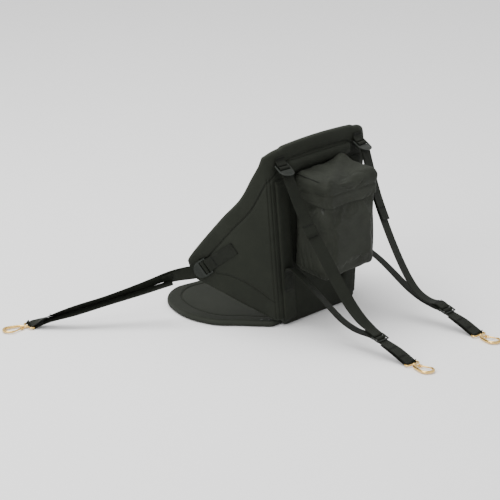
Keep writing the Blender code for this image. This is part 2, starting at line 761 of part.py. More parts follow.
def make_fittings():
    lock = make_lock_mesh()
    slider = make_slider_mesh()
    wing = wing_frame()[0]
    places = (
        ("ladder_lock_top_left", lock, top_frame()),
        ("ladder_lock_top_right", lock, mirrored(top_frame())),
        ("ladder_lock_wing_left", lock, wing),
        ("ladder_lock_wing_right", lock, mirrored(wing)),
        ("strap_slider_left", slider, slider_frame()),
        ("strap_slider_right", slider, mirrored(slider_frame())),
    )
    for name, mesh, place in places:
        fitting = add_object(name, mesh.copy(), PLASTIC_BLACK, 0.35, place=place)
        bevel(fitting, 0.0008, 1, radians(60))


# Webbing

def anchor_loop(frame):
    # Two layers that come from behind the lock and go round its anchor bar.
    centre = (-LOCK_PITCH, 0.0)
    wrap = arc(centre, LOCK_WRAP, 90, -90, 7)
    return in_frame(frame, wrap)


def make_wing_anchors():
    frame, run, normal = wing_frame()
    across = run.cross(normal)
    loop = anchor_loop(frame)
    reach, height = WING_LOCK
    skin = pad_point(reach, height, PAD_THICKNESS / 2 + WRAP)
    inner = []
    outer = []
    for back in (0.030, 0.045, 0.070, PATCH_LENGTH + 0.030):
        inner.append((skin - run * back, across))
        outer.append((skin - run * back + normal * LAYER, across))
    lead = [(skin - run * 0.021 + normal * (LAYER + 0.0022), across)]
    tuck = [(skin - run * 0.021 + normal * 0.0006, across)]
    for side, word in ((1, "left"), (-1, "right")):
        stations = outer[::-1] + lead + loop + tuck + inner
        webbing(f"wing_anchor_{word}", for_side(stations, side))


def make_top_anchors():
    frame = top_frame()
    loop = anchor_loop(frame)
    across = Vector(frame.col[0][:3])
    flat = Vector((1, 0, 0))
    face = REAR_FACE + WRAP
    foot = frame @ Vector((0, -LOCK_PITCH, 0))
    inner = []
    outer = []
    for low, high in ((0.0045, 0.0105), (0.0120, 0.0145), (0.020, 0.020)):
        inner.append((Vector((foot.x, face, foot.z + low)), flat))
        outer.append((Vector((foot.x, face + LAYER, foot.z + high)), flat))
    mid_in = (Vector((foot.x, face + 0.0004, foot.z - 0.0012)), across.lerp(flat, 0.5))
    mid_out = (Vector((foot.x, face + 0.0048, foot.z + 0.0064)), across.lerp(flat, 0.5))
    stations = outer[::-1] + [mid_out] + loop + [mid_in] + inner
    for side, word in ((1, "left"), (-1, "right")):
        webbing(f"top_anchor_{word}", for_side(stations, side))


def lock_wrap():
    # Side view of the webbing in a ladder lock: from the tail, over the middle bar, out under the tab.
    tail = -LOCK_THICKNESS / 2 - WRAP - 0.0002
    main = tail - LAYER - 0.0003
    bend = 0.0016
    over = [(LOCK_RAMP + LOCK_BAR + 0.002, tail), (LOCK_RAMP + 0.5 * LOCK_BAR, tail)]
    over += arc((LOCK_WRAP + bend, tail + bend), bend, 270, 180, 3)
    over += arc((0, 0), LOCK_WRAP, 15, 180, 8)
    over += arc((0, 0), LOCK_WRAP, 200, 270, 3, -main)
    over += [(LOCK_RAMP, main), (LOCK_RAMP + LOCK_BAR + 0.002, main)]
    return over, main


def eye_wrap():
    # Side view of the webbing round a hook's eye bar, from the upper run to the lower one.
    return arc((0, 0), EYE_BAR_RADIUS + WRAP + 0.0003, 90, -90, 7)


def strip_normals(stations, hint):
    # Directions off the face of a strip, on the side that the hint points to.
    normals = []
    for i, (centre, across) in enumerate(stations):
        before = stations[max(i - 1, 0)][0]
        after = stations[min(i + 1, len(stations) - 1)][0]
        off = across.cross(after - before).normalized()
        normals.append(off if off.dot(hint) > 0 else -off)
    return normals


def rolled(stations, angle):
    # The strip turned about its own run, most at its middle.
    turned = []
    last = len(stations) - 1
    for i, (centre, across) in enumerate(stations):
        run = stations[min(i + 1, last)][0] - stations[max(i - 1, 0)][0]
        turn = Matrix.Rotation(angle * sin(pi * i / last), 3, run.normalized())
        turned.append((centre, turn @ across))
    return turned


def lying_tail(main, normals, count, slip):
    # A loose tail that lies on the first stations of the main run, slipping a little sideways.
    tail = []
    for i in range(count):
        centre, across = main[i]
        share = i / (count - 1)
        lift = LAYER + 0.0004 + 0.0016 * share
        tail.append((centre + normals[i] * lift + across.normalized() * slip * share, across))
    return tail


def make_rear_upper_straps():
    lock = top_frame()
    slider = slider_frame()
    wrap, main_level = lock_wrap()
    turn = SLIDER_BAR / 2 + WRAP + 0.0006
    loop = arc((-SLIDER_PITCH, 0), turn, 90, -90, 7)
    end_run = [(-SLIDER_PITCH - 0.012, -turn), (-SLIDER_PITCH - 0.030, -turn + 0.0012)]
    start = lock @ Vector((0, LOCK_RAMP + LOCK_BAR + 0.006, main_level))
    middle = [(0.143, 0.090, 0.309), (0.140, 0.140, 0.236), (0.137, 0.190, 0.165), (0.134, 0.232, 0.110)]
    middle.append((0.132, 0.268, 0.077))
    finish = slider @ Vector((0, -SLIDER_PITCH - 0.014, turn + 0.0006))
    across_start = Vector(lock.col[0][:3])
    across_end = Vector(slider.col[0][:3])
    for side, word, slack in ((1, "left", Vector()), (-1, "right", RIGHT_SLACK)):
        hanging = [start]
        for number, (across, back, height) in enumerate(middle, 1):
            sag = slack * sin(pi * number / (len(middle) + 1))
            hanging.append(Vector((across, REAR + back, height)) + sag)
        run = rolled(free_run([*hanging, finish], across_start, across_end, 3), STRAP_ROLL[side < 0])
        normals = strip_normals(run, Vector((0, 1, 1)))
        tail = lying_tail(run, normals, 6, 0.004)
        stations = tail[::-1] + in_frame(lock, wrap) + run + in_frame(slider, loop) + in_frame(slider, end_run)
        webbing(f"rear_upper_strap_{word}", for_side(stations, side))


def make_rear_lower_straps():
    across, low, height = LOWER_PATCH
    flat = Vector((1, 0, 0))
    face = REAR_FACE + GAP + SLEEVE_THICKNESS + WRAP
    slider = slider_frame()
    patch = [(Vector((across, face, low + height * share)), flat) for share in (0.0, 0.5, 1.0)]
    spread = [(0.121, 0.0285, 0.150), (0.1215, 0.039, 0.151), (0.123, 0.072, 0.133)]
    spread += [(0.125, 0.112, 0.110), (0.127, 0.152, 0.085), (0.129, 0.202, 0.057), (0.130, 0.250, 0.0445)]
    through = (
        (-0.026, -0.0096), (-0.016, -0.0068), (-0.0105, -0.0062), (-0.0066, -0.0049), (-0.0046, -0.0022),
        (-0.0031, 0.0014), (0.0, 0.0030), (0.0031, 0.0014), (0.0044, -0.0012), (0.0066, -0.0029), (0.0130, -0.0031),
    )
    passing = in_frame(slider, through)
    eye = hook_frame(REAR_EYE, REAR_HOOK_SWING)
    for side, word, lift, roll in zip((1, -1), ("left", "right"), LOWER_LIFT, LOWER_ROLL):
        lead = []
        for number, (x, y, z) in enumerate(spread):
            lead.append(Vector((x, REAR + y, z + lift * sin(pi * number / len(spread)))))
        free = rolled(free_run([patch[-1][0], *lead, passing[0][0]], flat, flat, 2), roll)[1:-1]
        bar = eye if side > 0 else right_rear_hook()
        wrap = [(bar @ Vector((0, along, off)), Vector(bar.col[0][:3])) for along, off in eye_wrap()]
        if side < 0:
            wrap = [(Vector((-p.x, p.y, p.z)), Vector((-a.x, a.y, a.z))) for p, a in wrap]
            wrap = [(p, a if a.x > 0 else -a) for p, a in wrap]
        out_end, across_end = wrap[0]
        back_end = wrap[-1][0]
        out_start = passing[-1][0]
        sag = Vector((0, 0, 0.0035))
        out = free_run([out_start, out_start.lerp(out_end, 0.5) + sag, out_end], flat, across_end, 4)[1:-1]
        stop = slider @ Vector((0, 0.0175, -0.0031 - LAYER - 0.0008))
        under = free_run([back_end, back_end.lerp(stop, 0.5) + 0.2 * sag, stop], across_end, flat, 4)[1:]
        stations = patch + free + passing + out + wrap + under
        webbing(f"rear_lower_strap_{word}", for_side(stations, side))


def make_front_straps():
    lock = wing_frame()[0]
    wrap, main_level = lock_wrap()
    bar = hook_frame(FRONT_EYE, FRONT_HOOK_SWING)
    start = lock @ Vector((0, LOCK_RAMP + LOCK_BAR + 0.010, main_level))
    up = Vector((0, 0, 1))
    eye = Vector(bar.translation)
    heading = Vector((eye.x - start.x, eye.y - start.y, 0)).normalized()
    near = Vector((-heading.y, heading.x, 0))
    lock_across = Vector(lock.col[0][:3])
    bar_across = Vector(bar.col[0][:3])
    if bar_across.dot(near) < 0:
        bar_across = -bar_across
    # The crease is the line where the far edges of the two runs lie together.
    crease = [(0.16, 0.107), (0.34, 0.085), (0.55, 0.061), (0.74, 0.0385), (0.89, 0.0225)]
    upper = [(start, lock_across)]
    lower = []
    for share, height in crease:
        ground = start.lerp(eye, share)
        point = Vector((ground.x, ground.y, height))
        roll = radians(78 - 37 * min(1.0, share / 0.5)) * (1 - max(0.0, share - 0.78) / 0.26)
        over = near * cos(roll) + up * sin(roll)
        under = near * cos(radians(4)) - up * sin(radians(4))
        settle = max(0.0, (share - 0.74) / 0.26)
        point -= near * HALF_WEB * settle * 0.9
        upper.append((point + over * HALF_WEB, over))
        lower.append((point - up * (0.0035 - 0.0012 * settle) + under * HALF_WEB, under))
    turn = [(bar @ Vector((0, along, off)), bar_across) for along, off in eye_wrap()]
    top = smooth_stations([*upper, turn[0]], 3)[:-1]
    bottom = smooth_stations([turn[-1], *lower[::-1]], 3)[1:]
    normals = strip_normals(top, Vector((1, 1, 0.4)))
    tail = lying_tail(top, normals, 5, -0.006)
    stations = tail[::-1] + in_frame(lock, wrap) + top + turn + bottom
    for side, word in ((1, "left"), (-1, "right")):
        webbing(f"front_strap_{word}", for_side(stations, side))


def smooth_stations(stations, steps):
    centres = smooth_path([centre for centre, across in stations], steps)
    turns = smooth_path([across for centre, across in stations], steps)
    return list(zip(centres, turns))


# Snap hooks: x across, y from the eye to the tip, z up

HOOK_LEVEL = EYE_BAR_RADIUS + WRAP + 0.0003 + WEBBING_THICKNESS / 2 + 0.0003
RING_CENTRE = HOOK_LENGTH - EYE_BAR_RADIUS - HOOK_BAR_RADIUS - HOOK_RING_RADIUS
PIVOT = (-0.0052, EYE_LENGTH + 0.0150)
NOSE_ANGLE = radians(206)


def hook_frame(eye, swing):
    # Left-hand hook that lies on the floor, its eye bar at this place from the fold line.
    across, back = eye
    heading = Vector((sin(swing), cos(swing), 0)) if back > 0 else Vector((cos(swing), sin(swing), 0))
    return frame_at(Vector((across, REAR + back, HOOK_LEVEL)), heading, Vector((0, 0, 1)))


def right_rear_hook():
    place = hook_frame(REAR_EYE, REAR_HOOK_SWING)
    place.translation.x = -REAR_EYE[0]
    return place


def make_hook_mesh():
    half = SLOT_HALF + EYE_BAR_RADIUS
    bend = 0.0045
    eye = []
    for cx, cy, start in (
        (half - bend, EYE_LENGTH - bend, 0), (-half + bend, EYE_LENGTH - bend, 90), (-half + bend, bend, 180),
        (half - bend, bend, 270),
    ):
        for x, y in arc((cx, cy), bend, start, start + 90, 3):
            eye.append(Vector((x, y, 0)))
    neck = EYE_LENGTH
    spine = [
        Vector((0, neck, 0)), Vector((0, neck + 0.006, 0)), Vector((0.004, neck + 0.5 * NECK_LENGTH, 0)),
        Vector((0.011, neck + NECK_LENGTH, 0)), Vector((HOOK_RING_RADIUS * 0.95, RING_CENTRE - 0.010, 0)),
    ]
    path = smooth_path(spine, 2)
    for step in range(13):
        angle = NOSE_ANGLE * step / 12
        path.append(Vector((HOOK_RING_RADIUS * cos(angle), RING_CENTRE + HOOK_RING_RADIUS * sin(angle), 0)))
    ring = add_cutter("hook_ring", tube_mesh("hook_ring", path, HOOK_BAR_RADIUS, 8))
    lug_place = Matrix.Translation((*PIVOT, 0))
    lug = cylinder_mesh("hook_lug", LUG_RADIUS, -LUG_THICKNESS / 2, LUG_THICKNESS / 2, lug_place)
    bridge_length = spine[3].x - PIVOT[0]
    bridge_place = (PIVOT[0] + bridge_length / 2, PIVOT[1] - 0.0008, 0)
    bridge = box_mesh("hook_bridge", (bridge_length, 0.0050, LUG_THICKNESS), bridge_place)
    hole = cylinder_mesh("pin_hole", PIN_RADIUS + GAP, -0.01, 0.01, lug_place)
    frame = bpy.data.objects.new("hook_body", tube_mesh("hook_eye", eye, EYE_BAR_RADIUS, 8, closed=True))
    cutters.objects.link(frame)
    for other, operation in (
        (ring, "UNION"), (add_cutter("hook_lug", lug), "UNION"), (add_cutter("hook_bridge", bridge), "UNION"),
        (add_cutter("pin_hole", hole), "DIFFERENCE"),
    ):
        boolean(frame, other, operation)
    return baked(frame)


def baked(thing):
    # The evaluated mesh of a helper object, which is then removed.
    bpy.context.view_layer.update()
    mesh = bpy.data.meshes.new_from_object(thing.evaluated_get(bpy.context.evaluated_depsgraph_get()))
    bpy.data.objects.remove(thing, do_unlink=True)
    return mesh


def gate_frame():
    # The closed gate in the hook's own frame: y runs from the pivot to the nose.
    nose = Vector((HOOK_RING_RADIUS * cos(NOSE_ANGLE), RING_CENTRE + HOOK_RING_RADIUS * sin(NOSE_ANGLE), 0))
    pivot = Vector((*PIVOT, 0))
    reach = (nose - pivot).length - GATE_RADIUS * 0.2 - 2 * GAP
    return frame_at(pivot, nose - pivot, Vector((0, 0, 1))), reach


def make_gate_mesh(reach):
    lay = Matrix.Rotation(-pi / 2, 4, "X")
    bar = cylinder_mesh("gate_bar", GATE_RADIUS, 0.0046, reach, lay, 10)
    gate = bpy.data.objects.new("gate", bar)
    cutters.objects.link(gate)
    inner = LUG_THICKNESS / 2 + GAP
    for word, sign in (("upper", 1), ("lower", -1)):
        middle = sign * (inner + GATE_CHEEK / 2)
        size = (2 * GATE_RADIUS + 0.0008, 0.0100, GATE_CHEEK)
        cheek = box_mesh(f"gate_{word}_cheek", size, (0, 0.0026, middle))
        boolean(gate, add_cutter(f"gate_{word}_cheek", cheek), "UNION")
    hole = cylinder_mesh("gate_hole", PIN_RADIUS + GATE_PLAY, -0.01, 0.01)
    boolean(gate, add_cutter("gate_hole", hole), "DIFFERENCE")
    return baked(gate)


def make_pin_mesh():
    # A rivet through the gate's cheeks and the hook's lug.
    outside = LUG_THICKNESS / 2 + 2 * GAP + GATE_CHEEK
    bm = bmesh.new()
    profile = (
        (0, outside + PIN_HEAD), (PIN_HEAD_RADIUS, outside + PIN_HEAD), (PIN_HEAD_RADIUS, outside),
        (PIN_RADIUS, outside), (PIN_RADIUS, -outside), (PIN_HEAD_RADIUS, -outside),
        (PIN_HEAD_RADIUS, -outside - PIN_HEAD), (0, -outside - PIN_HEAD),
    )
    line = [bm.verts.new((radius, 0, height)) for radius, height in profile]
    for a, b in zip(line, line[1:]):
        bm.edges.new((a, b))
    bmesh.ops.spin(
        bm, geom=bm.verts[:] + bm.edges[:], cent=(0, 0, 0), axis=(0, 0, 1), angle=2 * pi, steps=10, use_merge=True
    )
    bmesh.ops.remove_doubles(bm, verts=bm.verts, dist=1e-6)
    return to_mesh(bm, "gate_pin")


def make_hooks():
    body = make_hook_mesh()
    closed, reach = gate_frame()
    gate = make_gate_mesh(reach)
    pin = make_pin_mesh()
    left = hook_frame(FRONT_EYE, FRONT_HOOK_SWING)
    places = (
        ("front_left", left),
        ("front_right", mirrored(left)),
        ("rear_left", hook_frame(REAR_EYE, REAR_HOOK_SWING)),
        ("rear_right", right_rear_hook()),
    )
    for word, place in places:
        add_object(f"hook_{word}", body.copy(), BRASS, 0.25, 1.0, place)
        add_object(f"hook_gate_{word}", gate.copy(), BRASS, 0.25, 1.0, place @ closed)
        add_object(f"gate_pin_{word}", pin.copy(), BRASS, 0.3, 1.0, place @ closed)


make_seat_base()
make_corner_rivets()
make_backrest()
make_hinge_tape()
make_sleeves()
make_cross_band()
make_bag_body()
make_bag_lid()
make_zip_pull()
make_fittings()
make_wing_anchors()
make_top_anchors()
make_rear_upper_straps()
make_rear_lower_straps()
make_front_straps()
make_hooks()
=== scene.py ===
from math import cos, pi, radians, sin, sqrt, tan

import bmesh
import bpy
import numpy as np
from mathutils import Matrix, Vector


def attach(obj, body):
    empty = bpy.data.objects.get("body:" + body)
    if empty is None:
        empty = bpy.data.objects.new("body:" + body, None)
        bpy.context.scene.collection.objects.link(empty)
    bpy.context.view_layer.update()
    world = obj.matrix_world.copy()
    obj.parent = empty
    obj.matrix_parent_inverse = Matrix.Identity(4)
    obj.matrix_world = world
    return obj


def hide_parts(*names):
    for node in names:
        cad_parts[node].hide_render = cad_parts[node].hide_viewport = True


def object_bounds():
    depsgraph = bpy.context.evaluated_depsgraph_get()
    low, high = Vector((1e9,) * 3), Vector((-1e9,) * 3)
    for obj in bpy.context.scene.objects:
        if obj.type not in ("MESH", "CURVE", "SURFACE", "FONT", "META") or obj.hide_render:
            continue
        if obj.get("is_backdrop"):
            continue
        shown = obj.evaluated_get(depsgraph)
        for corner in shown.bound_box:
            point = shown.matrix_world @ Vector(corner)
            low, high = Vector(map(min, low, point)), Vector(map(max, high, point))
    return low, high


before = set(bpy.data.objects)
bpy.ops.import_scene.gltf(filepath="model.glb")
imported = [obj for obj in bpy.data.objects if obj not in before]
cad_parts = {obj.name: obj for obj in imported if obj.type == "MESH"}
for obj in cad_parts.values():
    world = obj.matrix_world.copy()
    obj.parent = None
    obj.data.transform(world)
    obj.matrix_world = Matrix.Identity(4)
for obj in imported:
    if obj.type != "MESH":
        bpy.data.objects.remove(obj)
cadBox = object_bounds()
print("frame loaded,", len(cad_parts), "nodes")

# Sizes that several pieces share, in metres
seat = {
    "rear": 0.180,  # plane where base and backrest meet
    "gap": 0.0004,
    "padThick": 0.015,
    "webWidth": 0.032,
    "webThick": 0.0015,
}
frontFace = seat["rear"] + seat["gap"]
rearFace = frontFace + seat["padThick"]
bagBack = rearFace + seat["gap"]
wrapGap = seat["webThick"] / 2 + seat["gap"]
layer = seat["webThick"] + seat["gap"]


def linked(name, data):
    thing = bpy.data.objects.new(name, data)
    bpy.context.scene.collection.objects.link(thing)
    return thing


cameraSetup = {
    "eye": (4.1591, 3.7795, 2.0025),
    "yaw": 130.874,
    "tilt": 18.613,
    "offset": (-63.64, 4.85),  # the picture's middle from the axis, in pixels
    "focal": 2321.6,
    "pixels": 500,
    "film": 36.0,
}


def makeCamera():
    yaw, tilt = radians(cameraSetup["yaw"]), radians(cameraSetup["tilt"])
    right = Vector((cos(yaw), sin(yaw), 0))
    back = Vector((sin(yaw) * cos(tilt), -cos(yaw) * cos(tilt), sin(tilt)))
    up = back.cross(right)
    across, rise = (value / cameraSetup["focal"] for value in cameraSetup["offset"])
    back = (back - right * across - up * rise).normalized()
    right = (right - right.dot(back) * back).normalized()
    up = back.cross(right)
    data = bpy.data.cameras.new("camera")
    data.sensor_width = cameraSetup["film"]
    data.lens = cameraSetup["focal"] / cameraSetup["pixels"] * cameraSetup["film"]
    data.clip_end = 50
    thing = linked("camera", data)
    place = Matrix((right, up, back)).transposed().to_4x4()
    place.translation = cameraSetup["eye"]
    thing.matrix_world = place
    bpy.context.scene.camera = thing


lightSetup = {
    "world": 1.05,
    "lamps": (
        # place, aimed at, size, power, warmth
        ((0.6, -0.8, 3.8), (0, 0.15, 0.15), 3.4, 160, 1.0),
        ((3.7, 0.5, 2.0), (0, 0.0, 0.15), 2.4, 72, 0.99),
        ((-1.2, 3.4, 2.6), (0, 0.1, 0.2), 2.4, 4, 1.0),
    ),
    "floor": 0.92,
}


def makeLights():
    world = bpy.data.worlds.new("studio")
    bpy.context.scene.world = world
    world.use_nodes = True
    sky = world.node_tree.nodes["Background"]
    sky.inputs["Color"].default_value = (1, 1, 1, 1)
    sky.inputs["Strength"].default_value = lightSetup["world"]
    for number, (place, aim, size, power, warmth) in enumerate(lightSetup["lamps"]):
        data = bpy.data.lights.new(f"softbox_{number}", "AREA")
        data.shape = "DISK"
        data.size = size
        data.energy = power
        data.color = (1.0, warmth, warmth)
        turn = (Vector(place) - Vector(aim)).to_track_quat("Z", "Y")
        linked(data.name, data).matrix_world = Matrix.Translation(place) @ turn.to_matrix().to_4x4()


class Val:
    # A socket with arithmetic: each sum adds a maths node.
    def __init__(self, tree, socket):
        self.tree = tree
        self.socket = socket

    def maths(self, operation, *others):
        return self.tree.add("ShaderNodeMath", {"operation": operation}, dict(enumerate((self, *others))))

    def __add__(self, other):
        return self.maths("ADD", other)

    def __sub__(self, other):
        return self.maths("SUBTRACT", other)

    def __mul__(self, other):
        return self.maths("MULTIPLY", other)

    __radd__ = __add__
    __rmul__ = __mul__

    def sin(self):
        return self.maths("SINE")

    def abs(self):
        return self.maths("ABSOLUTE")

    def steps(self, low, high):
        smooth = {"interpolation_type": "SMOOTHSTEP"}
        return self.tree.add("ShaderNodeMapRange", smooth, {0: self, 1: low, 2: high})


class Finish:
    # A new material: nodes are added with one method, then joined to its Principled shader.
    def __init__(self, name, **settings):
        self.material = bpy.data.materials.new(name)
        self.material.use_nodes = True
        self.nodes = self.material.node_tree.nodes
        self.links = self.material.node_tree.links
        self.shader = self.nodes["Principled BSDF"]
        for key, value in settings.items():
            self.shader.inputs[key.replace("_", " ")].default_value = value

    def put(self, socket, value):
        if isinstance(value, Val):
            self.links.new(value.socket, socket)
        else:
            socket.default_value = value

    def add(self, kind, settings=None, inputs=None, output=0):
        node = self.nodes.new(kind)
        for key, value in (settings or {}).items():
            setattr(node, key, value)
        for key, value in (inputs or {}).items():
            self.put(node.inputs[key], value)
        return Val(self, node.outputs[output])

    def place(self, scale=(1, 1, 1), source="Object"):
        where = self.add("ShaderNodeTexCoord", output=source)
        return self.add("ShaderNodeMapping", {}, {"Vector": where, "Scale": scale})

    def threads(self):
        # The cloth's own two directions.
        spot = self.place(source="UV")
        return [self.add("ShaderNodeSeparateXYZ", {}, {0: spot}, output=axis) for axis in (0, 1)]

    def noise(self, vector, scale, detail=2.0, rough=0.5):
        values = {"Vector": vector, "Scale": scale, "Detail": detail, "Roughness": rough}
        return self.add("ShaderNodeTexNoise", {}, values)

    def mix(self, factor, first, second):
        colours = {"Factor": factor, 6: first, 7: second}
        return self.add("ShaderNodeMix", {"data_type": "RGBA"}, colours, output=2)

    def bump(self, height, strength, distance):
        return self.add("ShaderNodeBump", {}, {"Strength": strength, "Distance": distance, "Height": height})

    def link(self, **values):
        for key, value in values.items():
            self.put(self.shader.inputs[key.replace("_", " ")], value)
        return self.material


def rgb(*values):
    return (*values, 1.0)


foamLook = {
    # The third colour is a painted highlight for rolled edges and ridges.
    "dark": (0.0127, 0.0144, 0.0106), "light": (0.0196, 0.0219, 0.0166), "edgeHighlight": (0.034, 0.037, 0.030),
    "tint": (0.62, 0.66, 0.60), "knit": 0.0011, "rough": 0.78,
}
bagLook = {
    "dark": (0.0160, 0.0177, 0.0134), "light": (0.0268, 0.0294, 0.0228),
    "tint": (0.66, 0.70, 0.64), "thread": 0.0009, "rough": 0.62,
}
webLook = {
    "dark": (0.0036, 0.0046, 0.0026), "light": (0.0112, 0.0133, 0.0085),
    "rib": 0.0022, "pick": 0.0019, "lean": 0.0007, "rough": 0.62,
}
plasticLook = {"base": (0.0078, 0.0102, 0.0072), "scuffed": (0.0125, 0.0155, 0.0115), "rough": 0.25}
brassLook = {"base": (0.80, 0.53, 0.17), "tarnish": (0.44, 0.27, 0.085), "rough": 0.13}


def foamCloth():
    # Fine knit laminated on foam, with a painted highlight along its rolled edges and band ridges.
    f = Finish("foam_cloth", Sheen_Weight=0.02, Sheen_Roughness=0.5, Specular_IOR_Level=0.10)
    f.link(Sheen_Tint=rgb(*foamLook["tint"]))
    u, v = f.threads()
    turn = 2 * pi / foamLook["knit"]
    knit = (u * turn).sin() * (v * turn).sin()
    body = f.place()
    cloud = f.noise(body, 9.0, 4.0, 0.6)
    grain = f.noise(body, 420.0, 2.0, 0.6)
    crease = f.noise(body, 38.0, 3.0, 0.55)
    tone = (cloud * 0.75 + grain * 0.35).steps(0.35, 0.85)
    # Painted highlight: this attribute is high on rolled edges and band ridges, and it lightens the colour
    # there.
    edge = f.add("ShaderNodeAttribute", {"attribute_name": "edge_highlight"}, output="Fac")
    colour = f.mix(tone, rgb(*foamLook["dark"]), rgb(*foamLook["light"]))
    colour = f.mix(edge * 0.6, colour, rgb(*foamLook["edgeHighlight"]))
    height = knit * 0.35 + grain * 0.5 + crease * 1.6
    rough = foamLook["rough"] + 0.14 * (cloud - 0.5)
    return f.link(Base_Color=colour, Roughness=rough, Normal=f.bump(height, 0.42, 0.0006))


def bagCloth():
    # Coated pack cloth: a plain weave with broad soft creases.
    f = Finish("bag_cloth", Sheen_Weight=0.01, Sheen_Roughness=0.4, Specular_IOR_Level=0.11)
    f.link(Sheen_Tint=rgb(*bagLook["tint"]))
    u, v = f.threads()
    turn = 2 * pi / bagLook["thread"]
    weave = (u * turn).sin().abs() * 0.5 + (v * turn).sin().abs() * 0.5
    body = f.place()
    cloud = f.noise(body, 14.0, 4.0, 0.6)
    slub = f.noise(f.place((60, 60, 900)), 1.0, 2.0, 0.5)
    crease = f.noise(f.place((1.0, 1.0, 0.55)), 30.0, 3.0, 0.5)
    tone = (cloud * 0.8 + slub * 0.3).steps(0.35, 0.85)
    colour = f.mix(tone, rgb(*bagLook["dark"]), rgb(*bagLook["light"]))
    height = weave * 0.5 + slub * 0.4 + crease * 2.2
    rough = bagLook["rough"] + 0.2 * (cloud - 0.5)
    return f.link(Base_Color=colour, Roughness=rough, Normal=f.bump(height, 0.40, 0.0007))


def webbingCloth():
    # Ribs along the strap, crossed by fine picks.
    f = Finish("webbing_weave", Sheen_Weight=0.015, Sheen_Roughness=0.4, Specular_IOR_Level=0.16)
    u, v = f.threads()
    wave = (u * (pi / webLook["rib"])).sin()
    rib = wave.abs()
    pick = ((v + wave * webLook["lean"]) * (2 * pi / webLook["pick"])).sin() * 0.5 + 0.5
    fuzz = f.noise(f.place((1, 1, 1), "UV"), 900.0, 2.0, 0.6)
    cloud = f.noise(f.place(), 25.0, 3.0, 0.5)
    tone = (rib * 0.55 + pick * 0.25 + cloud * 0.45).steps(0.35, 1.1)
    colour = f.mix(tone, rgb(*webLook["dark"]), rgb(*webLook["light"]))
    return f.link(
        Base_Color=colour, Roughness=webLook["rough"] + 0.12 * fuzz,
        Normal=f.bump(rib * 0.8 + pick * 0.55 + fuzz * 0.2, 0.55, 0.0005),
    )


def mouldedPlastic():
    f = Finish("moulded_plastic", Coat_Roughness=0.15, Specular_IOR_Level=0.24)
    body = f.place()
    grain = f.noise(body, 1500.0, 2.0, 0.5)
    scuff = f.noise(body, 160.0, 4.0, 0.65)
    colour = f.mix(scuff.steps(0.55, 0.8), rgb(*plasticLook["base"]), rgb(*plasticLook["scuffed"]))
    return f.link(
        Base_Color=colour, Roughness=plasticLook["rough"] + 0.18 * scuff, Coat_Weight=0.03,
        Normal=f.bump(grain, 0.16, 0.0002),
    )


def polishedBrass():
    f = Finish("polished_brass", Metallic=1.0)
    body = f.place()
    film = f.noise(body, 60.0, 4.0, 0.6)
    hairline = f.noise(f.place((900, 900, 60)), 1.0, 2.0, 0.5)
    colour = f.mix(film.steps(0.5, 0.8), rgb(*brassLook["base"]), rgb(*brassLook["tarnish"]))
    return f.link(
        Base_Color=colour, Roughness=brassLook["rough"] + 0.16 * film, Normal=f.bump(hairline, 0.10, 0.0001)
    )


def threadLook():
    f = Finish("sewing_thread", Specular_IOR_Level=0.2)
    twist = f.noise(f.place(), 2600.0, 2.0, 0.5)
    colour = f.mix(twist, rgb(0.0020, 0.0024, 0.0018), rgb(0.0090, 0.0100, 0.0080))
    return f.link(Base_Color=colour, Roughness=0.6, Normal=f.bump(twist, 0.3, 0.0002))


def greyZip():
    f = Finish("zip_metal", Metallic=0.2, Specular_IOR_Level=0.3)
    wear = f.noise(f.place(), 700.0, 3.0, 0.6)
    colour = f.mix(wear.steps(0.4, 0.7), rgb(0.020, 0.022, 0.018), rgb(0.045, 0.048, 0.042))
    return f.link(Base_Color=colour, Roughness=0.32 + 0.2 * wear, Normal=f.bump(wear, 0.12, 0.0002))


def floorLook():
    f = Finish("studio_floor", Specular_IOR_Level=0.2)
    cloud = f.noise(f.place(), 1.2, 2.0, 0.5)
    pale = lightSetup["floor"]
    colour = f.mix(cloud, rgb(pale, pale, pale), rgb(pale - 0.015, pale - 0.015, pale - 0.017))
    return f.link(Base_Color=colour, Roughness=0.9)


makeCamera()
makeLights()
foam = foamCloth()
bagFabric = bagCloth()
webbingWeave = webbingCloth()
plastic = mouldedPlastic()
brass = polishedBrass()
thread = threadLook()
zipMetal = greyZip()
print("camera, lights and finishes made")


def addPiece(name, mesh, finish, body="seat", replaced=()):
    piece = linked(name, mesh)
    mesh.materials.clear()
    mesh.materials.append(finish)
    mesh.shade_smooth()
    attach(piece, body)
    if replaced:
        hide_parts(*replaced)
    return piece


def meshOf(bm, name):
    bmesh.ops.recalc_face_normals(bm, faces=bm.faces)
    mesh = bpy.data.meshes.new(name)
    bm.to_mesh(mesh)
    bm.free()
    return mesh


def recalculated(mesh, merge=0.0):
    bm = bmesh.new()
    bm.from_mesh(mesh)
    if merge:
        bmesh.ops.remove_doubles(bm, verts=bm.verts, dist=merge)
    bmesh.ops.recalc_face_normals(bm, faces=bm.faces)
    bm.to_mesh(mesh)
    bm.free()
    return mesh


def gridFaces(bm, rows):
    made = [[bm.verts.new(point) for point in row] for row in rows]
    for low, high in zip(made, made[1:]):
        for corners in zip(low, low[1:], high[1:], high):
            bm.faces.new(corners)


def unit(values):
    return np.clip(values, 0, 1)


def hump(distance, width):
    # One on a line, falling away beside it.
    return np.exp(-((distance / width) ** 2))


def coordinates(mesh):
    values = np.empty(len(mesh.vertices) * 3)
    mesh.vertices.foreach_get("co", values)
    return values.reshape(-1, 3)


def setCoordinates(mesh, values):
    mesh.vertices.foreach_set("co", np.asarray(values, float).ravel())
    mesh.update()


def vertexNormals(mesh):
    normals = np.empty(len(mesh.vertices) * 3)
    mesh.vertex_normals.foreach_get("vector", normals)
    return normals.reshape(-1, 3)


def uvLayer(mesh, coordinates):
    # One UV pair for each vertex.
    layerData = mesh.uv_layers.new(name="cloth")
    corners = np.empty(len(mesh.loops), int)
    mesh.loops.foreach_get("vertex_index", corners)
    layerData.data.foreach_set("uv", np.asarray(coordinates, float)[corners].ravel())


